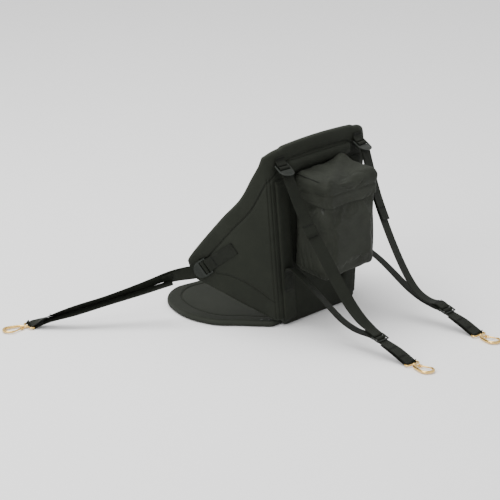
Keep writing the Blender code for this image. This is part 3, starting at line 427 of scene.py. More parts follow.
def floatLayer(mesh, name, values):
    attribute = mesh.attributes.new(name, "FLOAT", "POINT")
    attribute.data.foreach_set("value", np.asarray(values, float))


def evaluated(thing):
    bpy.context.view_layer.update()
    graph = bpy.context.evaluated_depsgraph_get()
    final = thing.evaluated_get(graph)
    mesh = bpy.data.meshes.new_from_object(final, preserve_all_data_layers=True, depsgraph=graph)
    bpy.data.objects.remove(thing, do_unlink=True)
    return mesh


def baked(mesh, *steps):
    # The mesh after these modifiers: (type, settings) each.
    helper = linked("helper", mesh)
    for kind, settings in steps:
        modifier = helper.modifiers.new(kind.lower(), kind)
        for key, value in settings.items():
            setattr(modifier, key, value)
    return evaluated(helper)


def smoothCurve(points, steps):
    ends = [2 * points[0] - points[1], *points, 2 * points[-1] - points[-2]]
    path = []
    for a, b, c, d in zip(ends, ends[1:], ends[2:], ends[3:]):
        for step in range(steps):
            t = step / steps
            square, cube = (2 * a - 5 * b + 4 * c - d) * t**2, (3 * b - a - 3 * c + d) * t**3
            path.append(0.5 * ((2 * b) + (c - a) * t + square + cube))
    path.append(points[-1])
    return path


def sweep(bm, path, profiles, closed=False):
    # Rings of points along a path of (centre, across, normal), each ring from a profile of (x, y).
    rings = []
    for (centre, across, normal), profile in zip(path, profiles):
        rings.append([bm.verts.new(centre + across * x + normal * y) for x, y in profile])
    pairs = list(zip(rings, rings[1:]))
    if closed:
        pairs.append((rings[-1], rings[0]))
    for low, high in pairs:
        for i in range(len(low)):
            j = (i + 1) % len(low)
            bm.faces.new((low[i], low[j], high[j], high[i]))
    if not closed:
        bm.faces.new(rings[0][::-1])
        bm.faces.new(rings[-1])
    return rings


def carried(points, closed=False, start=None):
    # Frames carried along a line of points without twisting.
    count = len(points)
    frames = []
    side = start
    for i, point in enumerate(points):
        before = points[i - 1] if i or closed else points[i]
        after = points[(i + 1) % count] if i < count - 1 or closed else points[i]
        run = (after - before).normalized()
        if side is None:
            side = run.orthogonal()
        side = (side - side.dot(run) * run).normalized()
        frames.append((point, side, run.cross(side)))
    return frames


def circle(radius, sides):
    return [(radius * cos(2 * pi * i / sides), radius * sin(2 * pi * i / sides)) for i in range(sides)]


def tube(bm, points, radius, sides, closed=False, start=None):
    radii = radius if isinstance(radius, list) else [radius] * len(points)
    sweep(bm, carried(points, closed, start), [circle(r, sides) for r in radii], closed)


def roundedBox(size, rounding=0.9, sides=4):
    # Cross-section of a bar whose corners take this share of its lesser half.
    half = (size[0] / 2, size[1] / 2)
    r = min(half) * rounding
    points = []
    for sx, sy, first in ((1, 1, 0), (-1, 1, 90), (-1, -1, 180), (1, -1, 270)):
        for step in range(sides):
            angle = radians(first + 90 * step / (sides - 1))
            points.append((sx * (half[0] - r) + r * cos(angle), sy * (half[1] - r) + r * sin(angle)))
    return points


stitchSetup = {"pitch": 0.0034, "length": 0.0026, "width": 0.00030, "tackPitch": 0.0007}
stitchSizes = ("pitch", "length", "width")


def stitchTree():
    tree = bpy.data.node_groups.new("stitch_row", "GeometryNodeTree")
    face = tree.interface
    face.new_socket("Line", in_out="INPUT", socket_type="NodeSocketGeometry")
    for name in stitchSizes:
        socket = face.new_socket(name.title(), in_out="INPUT", socket_type="NodeSocketFloat")
        socket.default_value = stitchSetup[name]
    face.new_socket("Finish", in_out="INPUT", socket_type="NodeSocketMaterial")
    face.new_socket("Stitches", in_out="OUTPUT", socket_type="NodeSocketGeometry")

    def add(kind, links=(), **settings):
        node = tree.nodes.new(kind)
        for key, value in settings.items():
            setattr(node, key, value)
        for target, source in links:
            tree.links.new(source, node.inputs[target])
        return node

    given = add("NodeGroupInput").outputs
    curve = add("GeometryNodeMeshToCurve", [("Mesh", given["Line"])])
    spaced = [("Curve", curve.outputs[0]), ("Length", given["Pitch"])]
    even = add("GeometryNodeResampleCurve", spaced, mode="LENGTH")
    run = add("GeometryNodeInputTangent")
    turn = add("FunctionNodeAlignRotationToVector", [("Vector", run.outputs[0])], axis="Z")
    bead = add("GeometryNodeMeshIcoSphere")
    bead.inputs["Radius"].default_value = 1.0
    bead.inputs["Subdivisions"].default_value = 2
    half = add("ShaderNodeMath", [(0, given["Length"])], operation="MULTIPLY")
    half.inputs[1].default_value = 0.5
    size = add("ShaderNodeCombineXYZ", [(0, given["Width"]), (1, given["Width"]), (2, half.outputs[0])])
    shaped = add("GeometryNodeTransform", [("Geometry", bead.outputs["Mesh"]), ("Scale", size.outputs[0])])
    placed = add(
        "GeometryNodeInstanceOnPoints",
        [("Points", even.outputs[0]), ("Instance", shaped.outputs[0]), ("Rotation", turn.outputs[0])],
    )
    real = add("GeometryNodeRealizeInstances", [("Geometry", placed.outputs[0])])
    painted = add("GeometryNodeSetMaterial", [("Geometry", real.outputs[0]), ("Material", given["Finish"])])
    add("NodeGroupOutput", [("Stitches", painted.outputs[0])])
    return tree


stitches = stitchTree()
seamLines = []  # every sewn line of the object, as lists of points


def makeStitches():
    bm = bmesh.new()
    for line in seamLines:
        row = [bm.verts.new(point) for point in line]
        for a, b in zip(row, row[1:]):
            bm.edges.new((a, b))
    mesh = bpy.data.meshes.new("seams")
    bm.to_mesh(mesh)
    bm.free()
    helper = linked("seams", mesh)
    modifier = helper.modifiers.new("stitches", "NODES")
    modifier.node_group = stitches
    sockets = {item.name: item.identifier for item in stitches.interface.items_tree if item.in_out == "INPUT"}
    for name in stitchSizes:
        modifier[sockets[name.title()]] = stitchSetup[name]
    modifier[sockets["Finish"]] = thread
    result = evaluated(helper)
    addPiece("stitches", result, thread)


padSetup = {
    "height": 0.458,
    "arch": 0.009,
    "bottomHalf": 0.1405,
    "topHalf": 0.183,
    "flare": radians(18),
    "foldRadius": 0.012,
    "topFoldRadius": 0.060,
    "foldOpens": 0.360,
    "cornerDrop": 0.018,
    "reach": 0.234,
    "tipHeight": 0.138,
    "foot": 0.0168,
    "band": 0.038,
    "lowerBand": 0.050,
    "groove": 0.0030,  # depth
    "grooveWidth": 0.0019,
    "ditch": 0.0012,  # the softer hollow on both sides of a groove
    "ditchWidth": 0.006,
    "seamCut": 0.0022,
    "seamWidth": 0.0011,
    "swell": 0.0016,  # how far the bands and panels bulge
    "rows": 92,
    "columns": 72,
    "foldSeam": 0.0036,
}
padLean = (padSetup["topHalf"] - padSetup["bottomHalf"]) / padSetup["height"]


def wingEdge():
    tip, low = padSetup["reach"], padSetup["tipHeight"]
    span = padSetup["height"] - low
    return [
        Vector((0.915 * tip, 0.715 * low)),
        Vector((tip, low)),
        Vector((0.96 * tip, low + 0.085 * span)),
        Vector((0.585 * tip, low + 0.405 * span)),
        Vector((0.345 * tip, low + 0.590 * span)),
        Vector((0.19 * tip, low + 0.775 * span)),
        Vector((0.07 * tip, padSetup["height"] - padSetup["cornerDrop"] - 0.009)),
    ]


def foldEase(z):
    share = unit((z - padSetup["foldOpens"]) / (padSetup["height"] - padSetup["foldOpens"]))
    radius = padSetup["foldRadius"] + (padSetup["topFoldRadius"] - padSetup["foldRadius"]) * share**2
    return radius, radius * tan((pi / 2 - padSetup["flare"]) / 2)


def foldMiddle(reach, z):
    # Middle surface of the pad's left half: arrays of reach from the fold and height.
    radius, ease = foldEase(z)
    flare = padSetup["flare"]
    angle = (pi / 2 - flare) * (reach + ease) / (2 * ease)
    places = [reach <= -ease, reach >= ease]
    x = np.select(places, [reach, reach * sin(flare)], -ease + radius * np.sin(angle))
    y = np.select(places, [0 * reach, -reach * cos(flare)], -radius * (1 - np.cos(angle)))
    return np.stack([padSetup["bottomHalf"] + padLean * z + x, frontFace + seat["padThick"] / 2 + y, z], -1)


def padSurface(reach, z, off):
    small = 0.0005
    middle = foldMiddle(reach, z)
    along = foldMiddle(reach + small, z) - foldMiddle(reach - small, z)
    rise = foldMiddle(reach, z + small) - foldMiddle(reach, z - small)
    normal = np.cross(rise, along)
    normal /= np.linalg.norm(normal, axis=-1, keepdims=True)
    return middle + normal * np.asarray(off)[..., None], normal


def padPoint(reach, z):
    return Vector(padSurface(*(np.array([float(value)]) for value in (reach, z, 0)))[0][0])


def lineDistance(points, line):
    # Distance of flat points to a polyline.
    best = np.full(len(points), 1e9)
    for a, b in zip(line, line[1:]):
        a, b = np.array(a[:2], float), np.array(b[:2], float)
        run = b - a
        t = unit(((points - a) @ run) / max(run @ run, 1e-12))
        best = np.minimum(best, np.linalg.norm(points - a - t[:, None] * run, axis=1))
    return best


def flatX(reach, z):
    return padSetup["bottomHalf"] + padLean * z + reach


def padLines():
    # Border, band line, lower band line and fold seams of the left half, laid flat.
    edge = smoothCurve(wingEdge(), 8)
    high = padSetup["height"]
    free = [(flatX(p.x, p.y), p.y) for p in edge]
    band = []
    for before, here, after in zip(edge, edge[1:], edge[2:]):
        run = (after - before).normalized()
        inward = here + padSetup["band"] * Vector((-run.y, run.x))
        if inward.x > 0.003 and 0.152 < inward.y:
            band.append((flatX(inward.x, inward.y), inward.y))
    drop = high - padSetup["band"]
    half = padSetup["topHalf"]
    band.append((flatX(-0.026, drop - 0.016), drop - 0.016))
    band += [(share * half, drop + padSetup["arch"] * (1 - share**2)) for share in (0.6, 0.4, 0.2, 0.0)]
    low = padSetup["lowerBand"]
    rising = ((0.67, 0.075), (0.48, 0.071), (0.24, 0.049), (0.02, 0.017))
    lower = [(flatX(share * padSetup["reach"], low + up), low + up) for share, up in rising]
    lower = [tuple(p) for p in smoothCurve([Vector(p) for p in lower], 5)]
    band = [tuple(p) for p in smoothCurve([Vector(p) for p in band], 2)]
    seams = [[(flatX(s * padSetup["foldSeam"], z), z) for z in (0.022, 0.2, drop - 0.030)] for s in (1, -1)]
    return free, band, lower, seams


def padGrid():
    # Flat sheet of the whole pad: x runs across it when laid flat, y is the height.
    rows, columns = padSetup["rows"], padSetup["columns"]
    edge = smoothCurve(wingEdge(), 48)
    high, foot = padSetup["height"], padSetup["foot"]
    grid = []
    for j in range(rows + 1):
        t = j / rows
        spot = edge[round(t * (len(edge) - 1))]
        start = foot + (high - foot) * t
        ease = float(foldEase(np.array(start))[1])
        outer = min(ease, 0.9 * spot.x)
        drop = padSetup["cornerDrop"] * t**6
        inner = padSetup["bottomHalf"] + padLean * high * t
        panel = inner - ease - 0.012
        marks = [flatX(-ease, start), flatX(outer, start - drop), flatX(spot.x, spot.y)]
        line = []
        for i in range(columns + 1):
            x = marks[2] * i / columns
            if x <= panel:
                y = high * t + padSetup["arch"] * t**4 * (1 - (x / inner) ** 2)
            elif x <= marks[0]:
                near = high * t + padSetup["arch"] * t**4 * (1 - (panel / inner) ** 2)
                y = near + (start - near) * (x - panel) / (marks[0] - panel)
            elif x <= marks[1]:
                y = start - drop * ((x - marks[0]) / (marks[1] - marks[0])) ** 2
            else:
                y = start - drop + (spot.y - start + drop) * (x - marks[1]) / (marks[2] - marks[1])
            line.append((x, y))
        grid.append([(-x, y) for x, y in line[:0:-1]] + line)
    return grid


def refine(bm, measure, limits):
    # Splits the edges that lie within each limit of a line, once for each limit.
    for limit in limits:
        bm.verts.ensure_lookup_table()
        flat = np.array([v.co[:2] for v in bm.verts])
        near = measure(flat) < limit
        for index, vert in enumerate(bm.verts):
            vert.tag = bool(near[index])
        split = [edge for edge in bm.edges if edge.verts[0].tag and edge.verts[1].tag]
        bmesh.ops.subdivide_edges(bm, edges=split, cuts=1, use_grid_fill=True)


def sheetShell(name, bm, shape):
    # Turns a flat sheet into a closed shell: shape gives the outer and inner points of each flat point.
    bm.verts.ensure_lookup_table()
    bm.verts.index_update()
    flat = np.array([v.co[:2] for v in bm.verts])
    border = np.array([v.is_boundary for v in bm.verts])
    faces = [[v.index for v in face.verts] for face in bm.faces]
    bm.free()
    outside, inside, edge_highlight = shape(flat)
    count = len(flat)
    second = np.where(border, np.arange(count), count + np.cumsum(~border) - 1)
    points = np.concatenate([np.where(border[:, None], (outside + inside) / 2, outside), inside[~border]])
    polygons = faces + [[int(second[i]) for i in face[::-1]] for face in faces]
    mesh = bpy.data.meshes.new(name)
    mesh.from_pydata(points.tolist(), [], polygons)
    both = np.concatenate([flat, flat[~border]])
    uvLayer(mesh, both)
    # The third value from shape is a painted edge highlight, stored on both faces.
    floatLayer(mesh, "edge_highlight", np.concatenate([edge_highlight, edge_highlight[~border]]))
    return recalculated(mesh)


def makeBackrest():
    free, band, lower, seams = padLines()
    grid = padGrid()
    bm = bmesh.new()
    gridFaces(bm, [[(x, y, 0) for x, y in row] for row in grid])
    half = len(grid[0]) // 2
    border = grid[0][half:] + [row[-1] for row in grid] + grid[-1][half:][::-1]

    def lines(flat):
        mirrored = np.abs(flat * (1, 0)) + flat * (0, 1)
        found = lineDistance(mirrored, band)
        for line in (lower, *seams):
            found = np.minimum(found, lineDistance(mirrored, line))
        return mirrored, found

    def measure(flat):
        mirrored, found = lines(flat)
        return np.minimum(found, lineDistance(mirrored, border) * 1.3)

    refine(bm, measure, (0.0085, 0.0042))

    def shape(flat):
        mirrored = np.abs(flat * (1, 0)) + flat * (0, 1)
        x, z = mirrored[:, 0], mirrored[:, 1]
        toEdge = lineDistance(mirrored, border)
        toFree = lineDistance(mirrored, free)
        toBand = lineDistance(mirrored, band)
        toLower = lineDistance(mirrored, lower)
        toSeam = np.minimum(lineDistance(mirrored, seams[0]), lineDistance(mirrored, seams[1]))
        reach = x - flatX(0, z)
        wing = unit((reach - 0.006) / 0.02)
        radius = seat["padThick"] / 2
        rolled = radius * np.sqrt(unit(1 - (1 - unit(toEdge / radius)) ** 2))
        width = padSetup["grooveWidth"]
        groove = hump(toBand, width) + 0.8 * hump(toLower, width)
        width = padSetup["ditchWidth"]
        ditch = hump(toBand, width) + 0.7 * hump(toLower, width)
        seamCut = padSetup["seamCut"] * hump(toSeam, padSetup["seamWidth"])
        inBand = np.sin(pi * unit(toFree / padSetup["band"])) * (toFree < padSetup["band"])
        rim = unit((z - 0.40) / 0.01)
        rim = rim * np.sin(pi * unit((padSetup["height"] + 0.006 - z) / padSetup["band"]))
        panel = wing * unit(toBand / 0.05) * unit(toLower / 0.04) * 0.8
        bulge = padSetup["swell"] * (np.maximum(inBand, rim) + panel)
        settled = bulge * unit(toEdge / 0.012)
        wave = 0.0009 * np.sin(x * 41 + z * 17) * np.sin(z * 29 - x * 11) * wing
        low = padSetup["groove"]
        out = rolled + settled - low * groove - padSetup["ditch"] * ditch - seamCut + wave
        inn = rolled + 0.6 * settled - 0.7 * low * groove - 0.001 * ditch + wave * 0.5
        outer, inner = padSurface(reach, z, out)[0], padSurface(reach, z, -inn)[0]
        side = np.where(flat[:, 0] < 0, -1.0, 1.0)
        outer[:, 0] *= side
        inner[:, 0] *= side
        middle = np.abs(flat[:, 0]) < 1e-6
        outer[middle, 0] = 0
        inner[middle, 0] = 0
        # Painted highlight along the rolled border and on the ridge beside the band groove.
        edge_highlight = hump(toEdge, 0.0035) * 0.9 + 0.25 * hump(toBand - 0.0042, 0.0016)
        return outer, inner, edge_highlight

    mesh = sheetShell("backrest", bm, shape)
    piece = addPiece("backrest", mesh, foam, replaced=("backrest_pad",))
    print("backrest", len(mesh.polygons), "faces")


baseSetup = {
    "depth": 0.360,
    "width": 0.504,
    "rearWidth": 0.310,
    "thick": 0.016,
    "notch": 0.012,
    "band": 0.038,
    "groove": 0.0026,  # depth
    "grooveWidth": 0.0018,
    "ditch": 0.0009,
    "ditchWidth": 0.006,
    "crown": (0.0008, 0.0007),  # how far the band and the middle rise
    "edge": 0.0058,
    "middle": 0.235,  # from the middle to the border; an inset becomes a share of it
}


def baseOutline(steps):
    half, rear, depth = baseSetup["width"] / 2, baseSetup["rearWidth"] / 2, baseSetup["depth"]
    flare = ((0, 0), (0.20, 0.07), (0.52, 0.19), (0.88, 0.32))
    shape = [(rear + out * (half - rear), -back * depth) for out, back in flare]
    shape += [(out * half, -back * depth) for out, back in ((1, 0.50), (0.95, 0.69), (0.79, 0.89), (0.52, 1))]
    shape += [(0.24 * half, -depth + 0.55 * baseSetup["notch"]), (0.0, -depth + baseSetup["notch"])]
    left = smoothCurve([Vector((x, y + seat["rear"], 0)) for x, y in shape], steps)
    rearLine = [Vector((rear * k / 10, seat["rear"], 0)) for k in range(10)]
    left = rearLine[1:] + left
    return left + [Vector((-p.x, p.y, 0)) for p in reversed(left[:-1])] + [Vector((0, seat["rear"], 0))]


def makeBase():
    line = [np.array(p[:2]) for p in baseOutline(9)]
    outline = np.array(line)
    line.append(line[0])
    count = len(outline)
    edge, middle = baseSetup["edge"], baseSetup["middle"]
    grooveShare = 1 - 2 * baseSetup["band"] / baseSetup["width"]
    insets = (0.0, 0.0006, 0.0016, 0.003, 0.0046, 0.0062, 0.009, 0.014, 0.020, 0.026, 0.030)
    shares = [1 - inset / middle for inset in insets]
    shares += [grooveShare + k * 0.0011 / middle for k in range(-6, 7)]
    last = min(shares)
    shares += [last * (1 - k / 26) for k in range(1, 26)]
    shares.sort(reverse=True)
    points, edge_highlight, faces = [], [], []

    def rimDrop(toEdge):
        return edge - np.sqrt(np.maximum(edge**2 - (edge - np.minimum(toEdge, edge)) ** 2, 0))

    for share in shares:
        spots = outline * share
        toEdge = lineDistance(spots, line)
        inner = abs(share - grooveShare) * middle
        swell = baseSetup["crown"][1] * min(1.0, inner / 0.05)
        if share > grooveShare:
            swell = baseSetup["crown"][0] * np.sin(pi * min(1.0, (1 - share) * middle / baseSetup["band"]))
        cut = baseSetup["groove"] * hump(inner, baseSetup["grooveWidth"])
        cut += baseSetup["ditch"] * hump(inner, baseSetup["ditchWidth"])
        nearBack = unit((seat["rear"] - spots[:, 1]) / 0.035)
        height = baseSetup["thick"] - rimDrop(toEdge) + (swell - cut) * nearBack
        points += [(x, y, z) for (x, y), z in zip(spots, height)]
        # Painted highlight along the rolled rim of the top. The underside rings below take a weaker, even
        # share of it.
        edge_highlight += list(hump(toEdge, 0.003) * 0.8)
    for share in (1 - 0.0003 / middle, 1 - 0.0016 / middle, 1 - 0.0046 / middle, 0.94):
        spots = outline * share
        points += [(x, y, z) for (x, y), z in zip(spots, rimDrop(lineDistance(spots, line)))]
        edge_highlight += [0.3] * count

    def join(low, high):
        for i in range(count):
            j = (i + 1) % count
            faces.append((low * count + i, low * count + j, high * count + j, high * count + i))

    rings = len(shares)
    for ring in range(rings - 1):
        join(ring, ring + 1)
    faces.append([(rings - 1) * count + i for i in range(count)])
    join(rings, 0)
    for ring in range(rings, rings + 3):
        join(ring + 1, ring)
    faces.append([(rings + 3) * count + i for i in range(count)][::-1])
    mesh = bpy.data.meshes.new("seat_pad")
    mesh.from_pydata(points, [], faces)
    uvLayer(mesh, np.array(points)[:, :2])
    floatLayer(mesh, "edge_highlight", edge_highlight)
    mesh = recalculated(mesh, 1e-6)
    piece = addPiece("seat_pad", mesh, foam, replaced=("seat_base",))


stripSetup = {
    "sleeveWidth": 0.042,
    "sleeveThick": 0.007,
    "sleeveLength": 0.372,
    "sleeveBottom": 0.012,
    "bandLength": 0.236,
    "bandHeight": 0.027,
    "bandThick": 0.008,
    "bandBottom": 0.394,
}


def paddedStrip(name, place, width, thick, length, replaced, power=2.2, endRound=0.010, wave=0.0004):
    # A low pillow of this width, its long side along local z and its face along local y.
    across, along = 22, max(24, round(length / 0.006))
    rows = []
    for j in range(along + 1):
        z = length * (j / along)
        toEnd = min(z, length - z)
        close = sqrt(max(0.0, 1 - (1 - min(1.0, toEnd / endRound)) ** 2))
        row = []
        for i in range(across + 1):
            u = -cos(pi * i / across)
            h = thick * max(0.0, 1 - abs(u) ** power) ** (1 / power)
            h = h * (0.45 + 0.55 * close) * (1 if 0 < j < along else 0.5)
            h += wave * sin(z * 95 + u * 1.3) * (1 - u * u)
            row.append(place @ Vector((u * width / 2, max(0.0, h), z)))
        rows.append(row)
    bm = bmesh.new()
    gridFaces(bm, rows)
    rim = [e for e in bm.edges if e.is_boundary]
    grown = bmesh.ops.extrude_edge_only(bm, edges=rim)["geom"]
    inverse = place.inverted()
    for vert in [v for v in grown if isinstance(v, bmesh.types.BMVert)]:
        local = inverse @ vert.co
        local.y = 0.0
        vert.co = place @ local
    bmesh.ops.holes_fill(bm, edges=[e for e in bm.edges if e.is_boundary], sides=0)
    mesh = meshOf(bm, name)
    uvLayer(mesh, [tuple((inverse @ v.co).xz) for v in mesh.vertices])
    floatLayer(mesh, "edge_highlight", [0.0] * len(mesh.vertices))
    piece = addPiece(name, mesh, foam, replaced=replaced)


def makeStrips():
    s = stripSetup
    middle = padSetup["bottomHalf"] - padSetup["foldRadius"] - 0.003 - s["sleeveWidth"] / 2
    lean = Matrix.Rotation(padLean, 4, "Y")
    for side, word in ((1, "left"), (-1, "right")):
        turn = lean if side > 0 else lean.inverted()
        foot = Vector((side * (middle + padLean * s["sleeveBottom"]), bagBack, s["sleeveBottom"]))
        place = Matrix.Translation(foot) @ turn
        paddedStrip(
            f"stay_pocket_{word}", place, s["sleeveWidth"] + 0.001, s["sleeveThick"], s["sleeveLength"],
            (f"stay_sleeve_{word}",), power=3.0,
        )
        for edge in (-1, 1):
            seamLines.append([
                place @ Vector((edge * (s["sleeveWidth"] / 2 - 0.0035), s["sleeveThick"] * 0.80, z))
                for z in (0.006, s["sleeveLength"] * 0.5, s["sleeveLength"] - 0.006)
            ])
    place = Matrix.Translation((-s["bandLength"] / 2, bagBack, s["bandBottom"] + s["bandHeight"] / 2))
    place = place @ Matrix(((0, 0, 1, 0), (0, 1, 0, 0), (-1, 0, 0, 0), (0, 0, 0, 1)))
    paddedStrip(
        "rear_roll", place, s["bandHeight"] + 0.002, s["bandThick"] + 0.002, s["bandLength"],
        ("cross_band",), endRound=0.02,
    )


makeBackrest()
makeBase()
makeStrips()
print("pads made")


bagSetup = {
    "width": 0.180,
    "depth": 0.110,
    "bottom": 0.140,
    "height": 0.236,
    "slope": 0.013,
    "corner": 0.013,
    "lidWall": 0.0022,
    "lidGap": 0.0004,
    "skirt": 0.060,
    "slack": 0.012,  # between the bag's top and the lid
    "hemBand": 0.029,
    "hemRise": 0.013,  # how much higher the skirt ends at the backrest
    "voxel": 0.0045,
    "frames": 20,
    "slide": 0.004,  # how far a point may move along the cloth
}
bagTop = bagSetup["bottom"] + bagSetup["height"]


def roundedBlock(low, high, corner, shrink=0.0):
    # A box whose top falls away from the backrest, with rounded corners.
    bm = bmesh.new()
    bmesh.ops.create_cube(bm, size=1)
    size = [high[i] - low[i] - 2 * shrink for i in range(3)]
    centre = [(high[i] + low[i]) / 2 for i in range(3)]
    for vert in bm.verts:
        vert.co = Vector([vert.co[i] * size[i] + centre[i] for i in range(3)])
    for vert in bm.verts:
        if vert.co.z > centre[2]:
            vert.co.z += bagSetup["slope"] * (1 - (vert.co.y - low[1]) / (high[1] - low[1]))
    bmesh.ops.bevel(bm, geom=bm.edges[:], offset=corner, segments=4, affect="EDGES", profile=0.5)
    return baked(meshOf(bm, "block"), ("REMESH", {"mode": "VOXEL", "voxel_size": bagSetup["voxel"]}))


clothSetup = {
    "quality": 6, "mass": 0.25, "tension_stiffness": 18, "compression_stiffness": 12, "shear_stiffness": 5,
    "bending_stiffness": 0.35, "use_pressure": True, "uniform_pressure_force": 3.0, "shrink_min": -0.05,
    "vertex_group_mass": "held",
}


def relaxed(name, mesh, held, outward, inward):
    # Cloth under light pressure; held gives each vertex's pinning, the limits cap how far a point may move.
    before = coordinates(mesh)
    helper = linked(name, mesh)
    group = helper.vertex_groups.new(name="held")
    for index, weight in enumerate(held):
        if weight > 0:
            group.add([index], float(weight), "REPLACE")
    cloth = helper.modifiers.new("cloth", "CLOTH")
    for key, value in clothSetup.items():
        setattr(cloth.settings, key, value)
    cloth.settings.effector_weights.gravity = 0
    cloth.point_cache.frame_start = 1
    cloth.point_cache.frame_end = bagSetup["frames"]
    for number in range(1, bagSetup["frames"] + 1):
        bpy.context.scene.frame_set(number)
    graph = bpy.context.evaluated_depsgraph_get()
    after = coordinates(helper.evaluated_get(graph).data).copy()
    bpy.context.scene.frame_set(1)
    bpy.data.objects.remove(helper, do_unlink=True)
    normals = vertexNormals(mesh)
    move = after - before
    along = (move * normals).sum(1)
    kept = np.clip(along, -inward, outward)
    across = move - along[:, None] * normals
    length = np.linalg.norm(across, axis=1, keepdims=True)
    across *= np.minimum(1, bagSetup["slide"] / np.maximum(length, 1e-9))
    setCoordinates(mesh, before + kept[:, None] * normals + across)
    return mesh


def boxUv(mesh):
    # Cloth coordinates taken from the face that each point lies on.
    values, facing = coordinates(mesh), np.abs(vertexNormals(mesh))
    u = np.where(facing[:, 0] > facing[:, 1], values[:, 1], values[:, 0])
    v = np.where(facing[:, 2] > np.maximum(facing[:, 0], facing[:, 1]), values[:, 1], values[:, 2])
    uvLayer(mesh, np.stack([u, v], -1))


def makeBag():
    b = bagSetup
    half = b["width"] / 2
    back = bagBack
    low = (-half, back, b["bottom"])
    high = (half, back + b["depth"], bagTop)
    mesh = roundedBlock(low, high, b["corner"], 0.001)
    spots = coordinates(mesh)
    under = unit((spots[:, 2] - (bagTop - b["skirt"] - 0.004)) / 0.012)  # hidden under the lid
    held = np.maximum(unit((back + 0.006 - spots[:, 1]) / 0.004), under)
    mesh = relaxed("bag", mesh, held, 0.006, 0.0015)
    # The load hangs low: the bottom sags and the rear face leans out a little.
    x, y, z = coordinates(mesh).T
    free = unit((y - back) / 0.02)
    sag = unit((b["bottom"] + 0.09 - z) / 0.09) * free
    near = unit((y - back - 0.015) / 0.07) * (0.62 + 0.38 * np.clip(x / half, -1, 1))
    z = z - 0.0105 * sag * near * (1 - 0.35 * (x / half) ** 2)
    lean = unit((y - back - 0.07) / 0.04)
    y = y + 0.0022 * lean * np.sin(pi * unit((bagTop - 0.05 - z) / 0.19))
    slump = hump(z - 0.205, 0.05) * unit((np.abs(x) - half + 0.03) / 0.02)
    x = x + np.sign(x) * 0.0030 * slump * free
    onSide = unit((np.abs(x) - half + 0.02) / 0.01)
    pleat = unit((b["bottom"] + 0.085 - z) / 0.06) * hump(y - back - 0.040, 0.026)
    x = x + np.sign(x) * 0.0022 * pleat * onSide * np.sin((y - back) * 430 + (z - b["bottom"]) * 110)
    away = np.hypot(y - (back + b["depth"] - 0.018), z - 0.318)
    turn = np.arctan2(z - 0.318, y - (back + b["depth"] - 0.018))
    x = x + 0.0013 * np.sin(turn * 11) * hump(away - 0.026, 0.018) * unit(onSide * (x > 0))
    y = y + 0.0011 * np.sin(z * 70 + x * 95) * unit((z - 0.24) / 0.06) * lean
    # Two slanting creases hang from the lid's near corner.
    for startX, startZ, deep, wide in ((0.078, 0.306, 0.0034, 0.0075), (0.084, 0.268, 0.0020, 0.0090)):
        run = (startX - x) * 0.922 + (startZ - z) * 0.387
        off = (startZ - z) * 0.922 - (startX - x) * 0.387
        along = hump(run - 0.034, 0.030)
        y = y - deep * lean * along * (hump(off, wide) - 0.6 * hump(off - 1.7 * wide, wide))
    spots = np.stack([x, y, z], -1)
    hidden = unit((spots[:, 2] - (bagTop - b["skirt"] - 0.008)) / 0.01)[:, None]
    centre = np.array([0, back + b["depth"] / 2, 0])
    limit = np.array([half - 0.0006, b["depth"] / 2 - 0.0006, 9])
    inside = np.clip(spots - centre, -limit, limit) + centre
    spots = spots * (1 - hidden) + inside * hidden
    spots[:, 1] = np.maximum(spots[:, 1], back + 0.0002)
    cover = bagTop + b["slope"] * (1 - (spots[:, 1] - back) / b["depth"]) - b["slack"]
    spots[:, 2] = np.minimum(spots[:, 2], cover)
    setCoordinates(mesh, spots)
    mesh = baked(mesh, ("SUBSURF", {"levels": 1, "render_levels": 1}))
    boxUv(mesh)
    piece = addPiece("bag", mesh, bagFabric, replaced=("bag_body",))


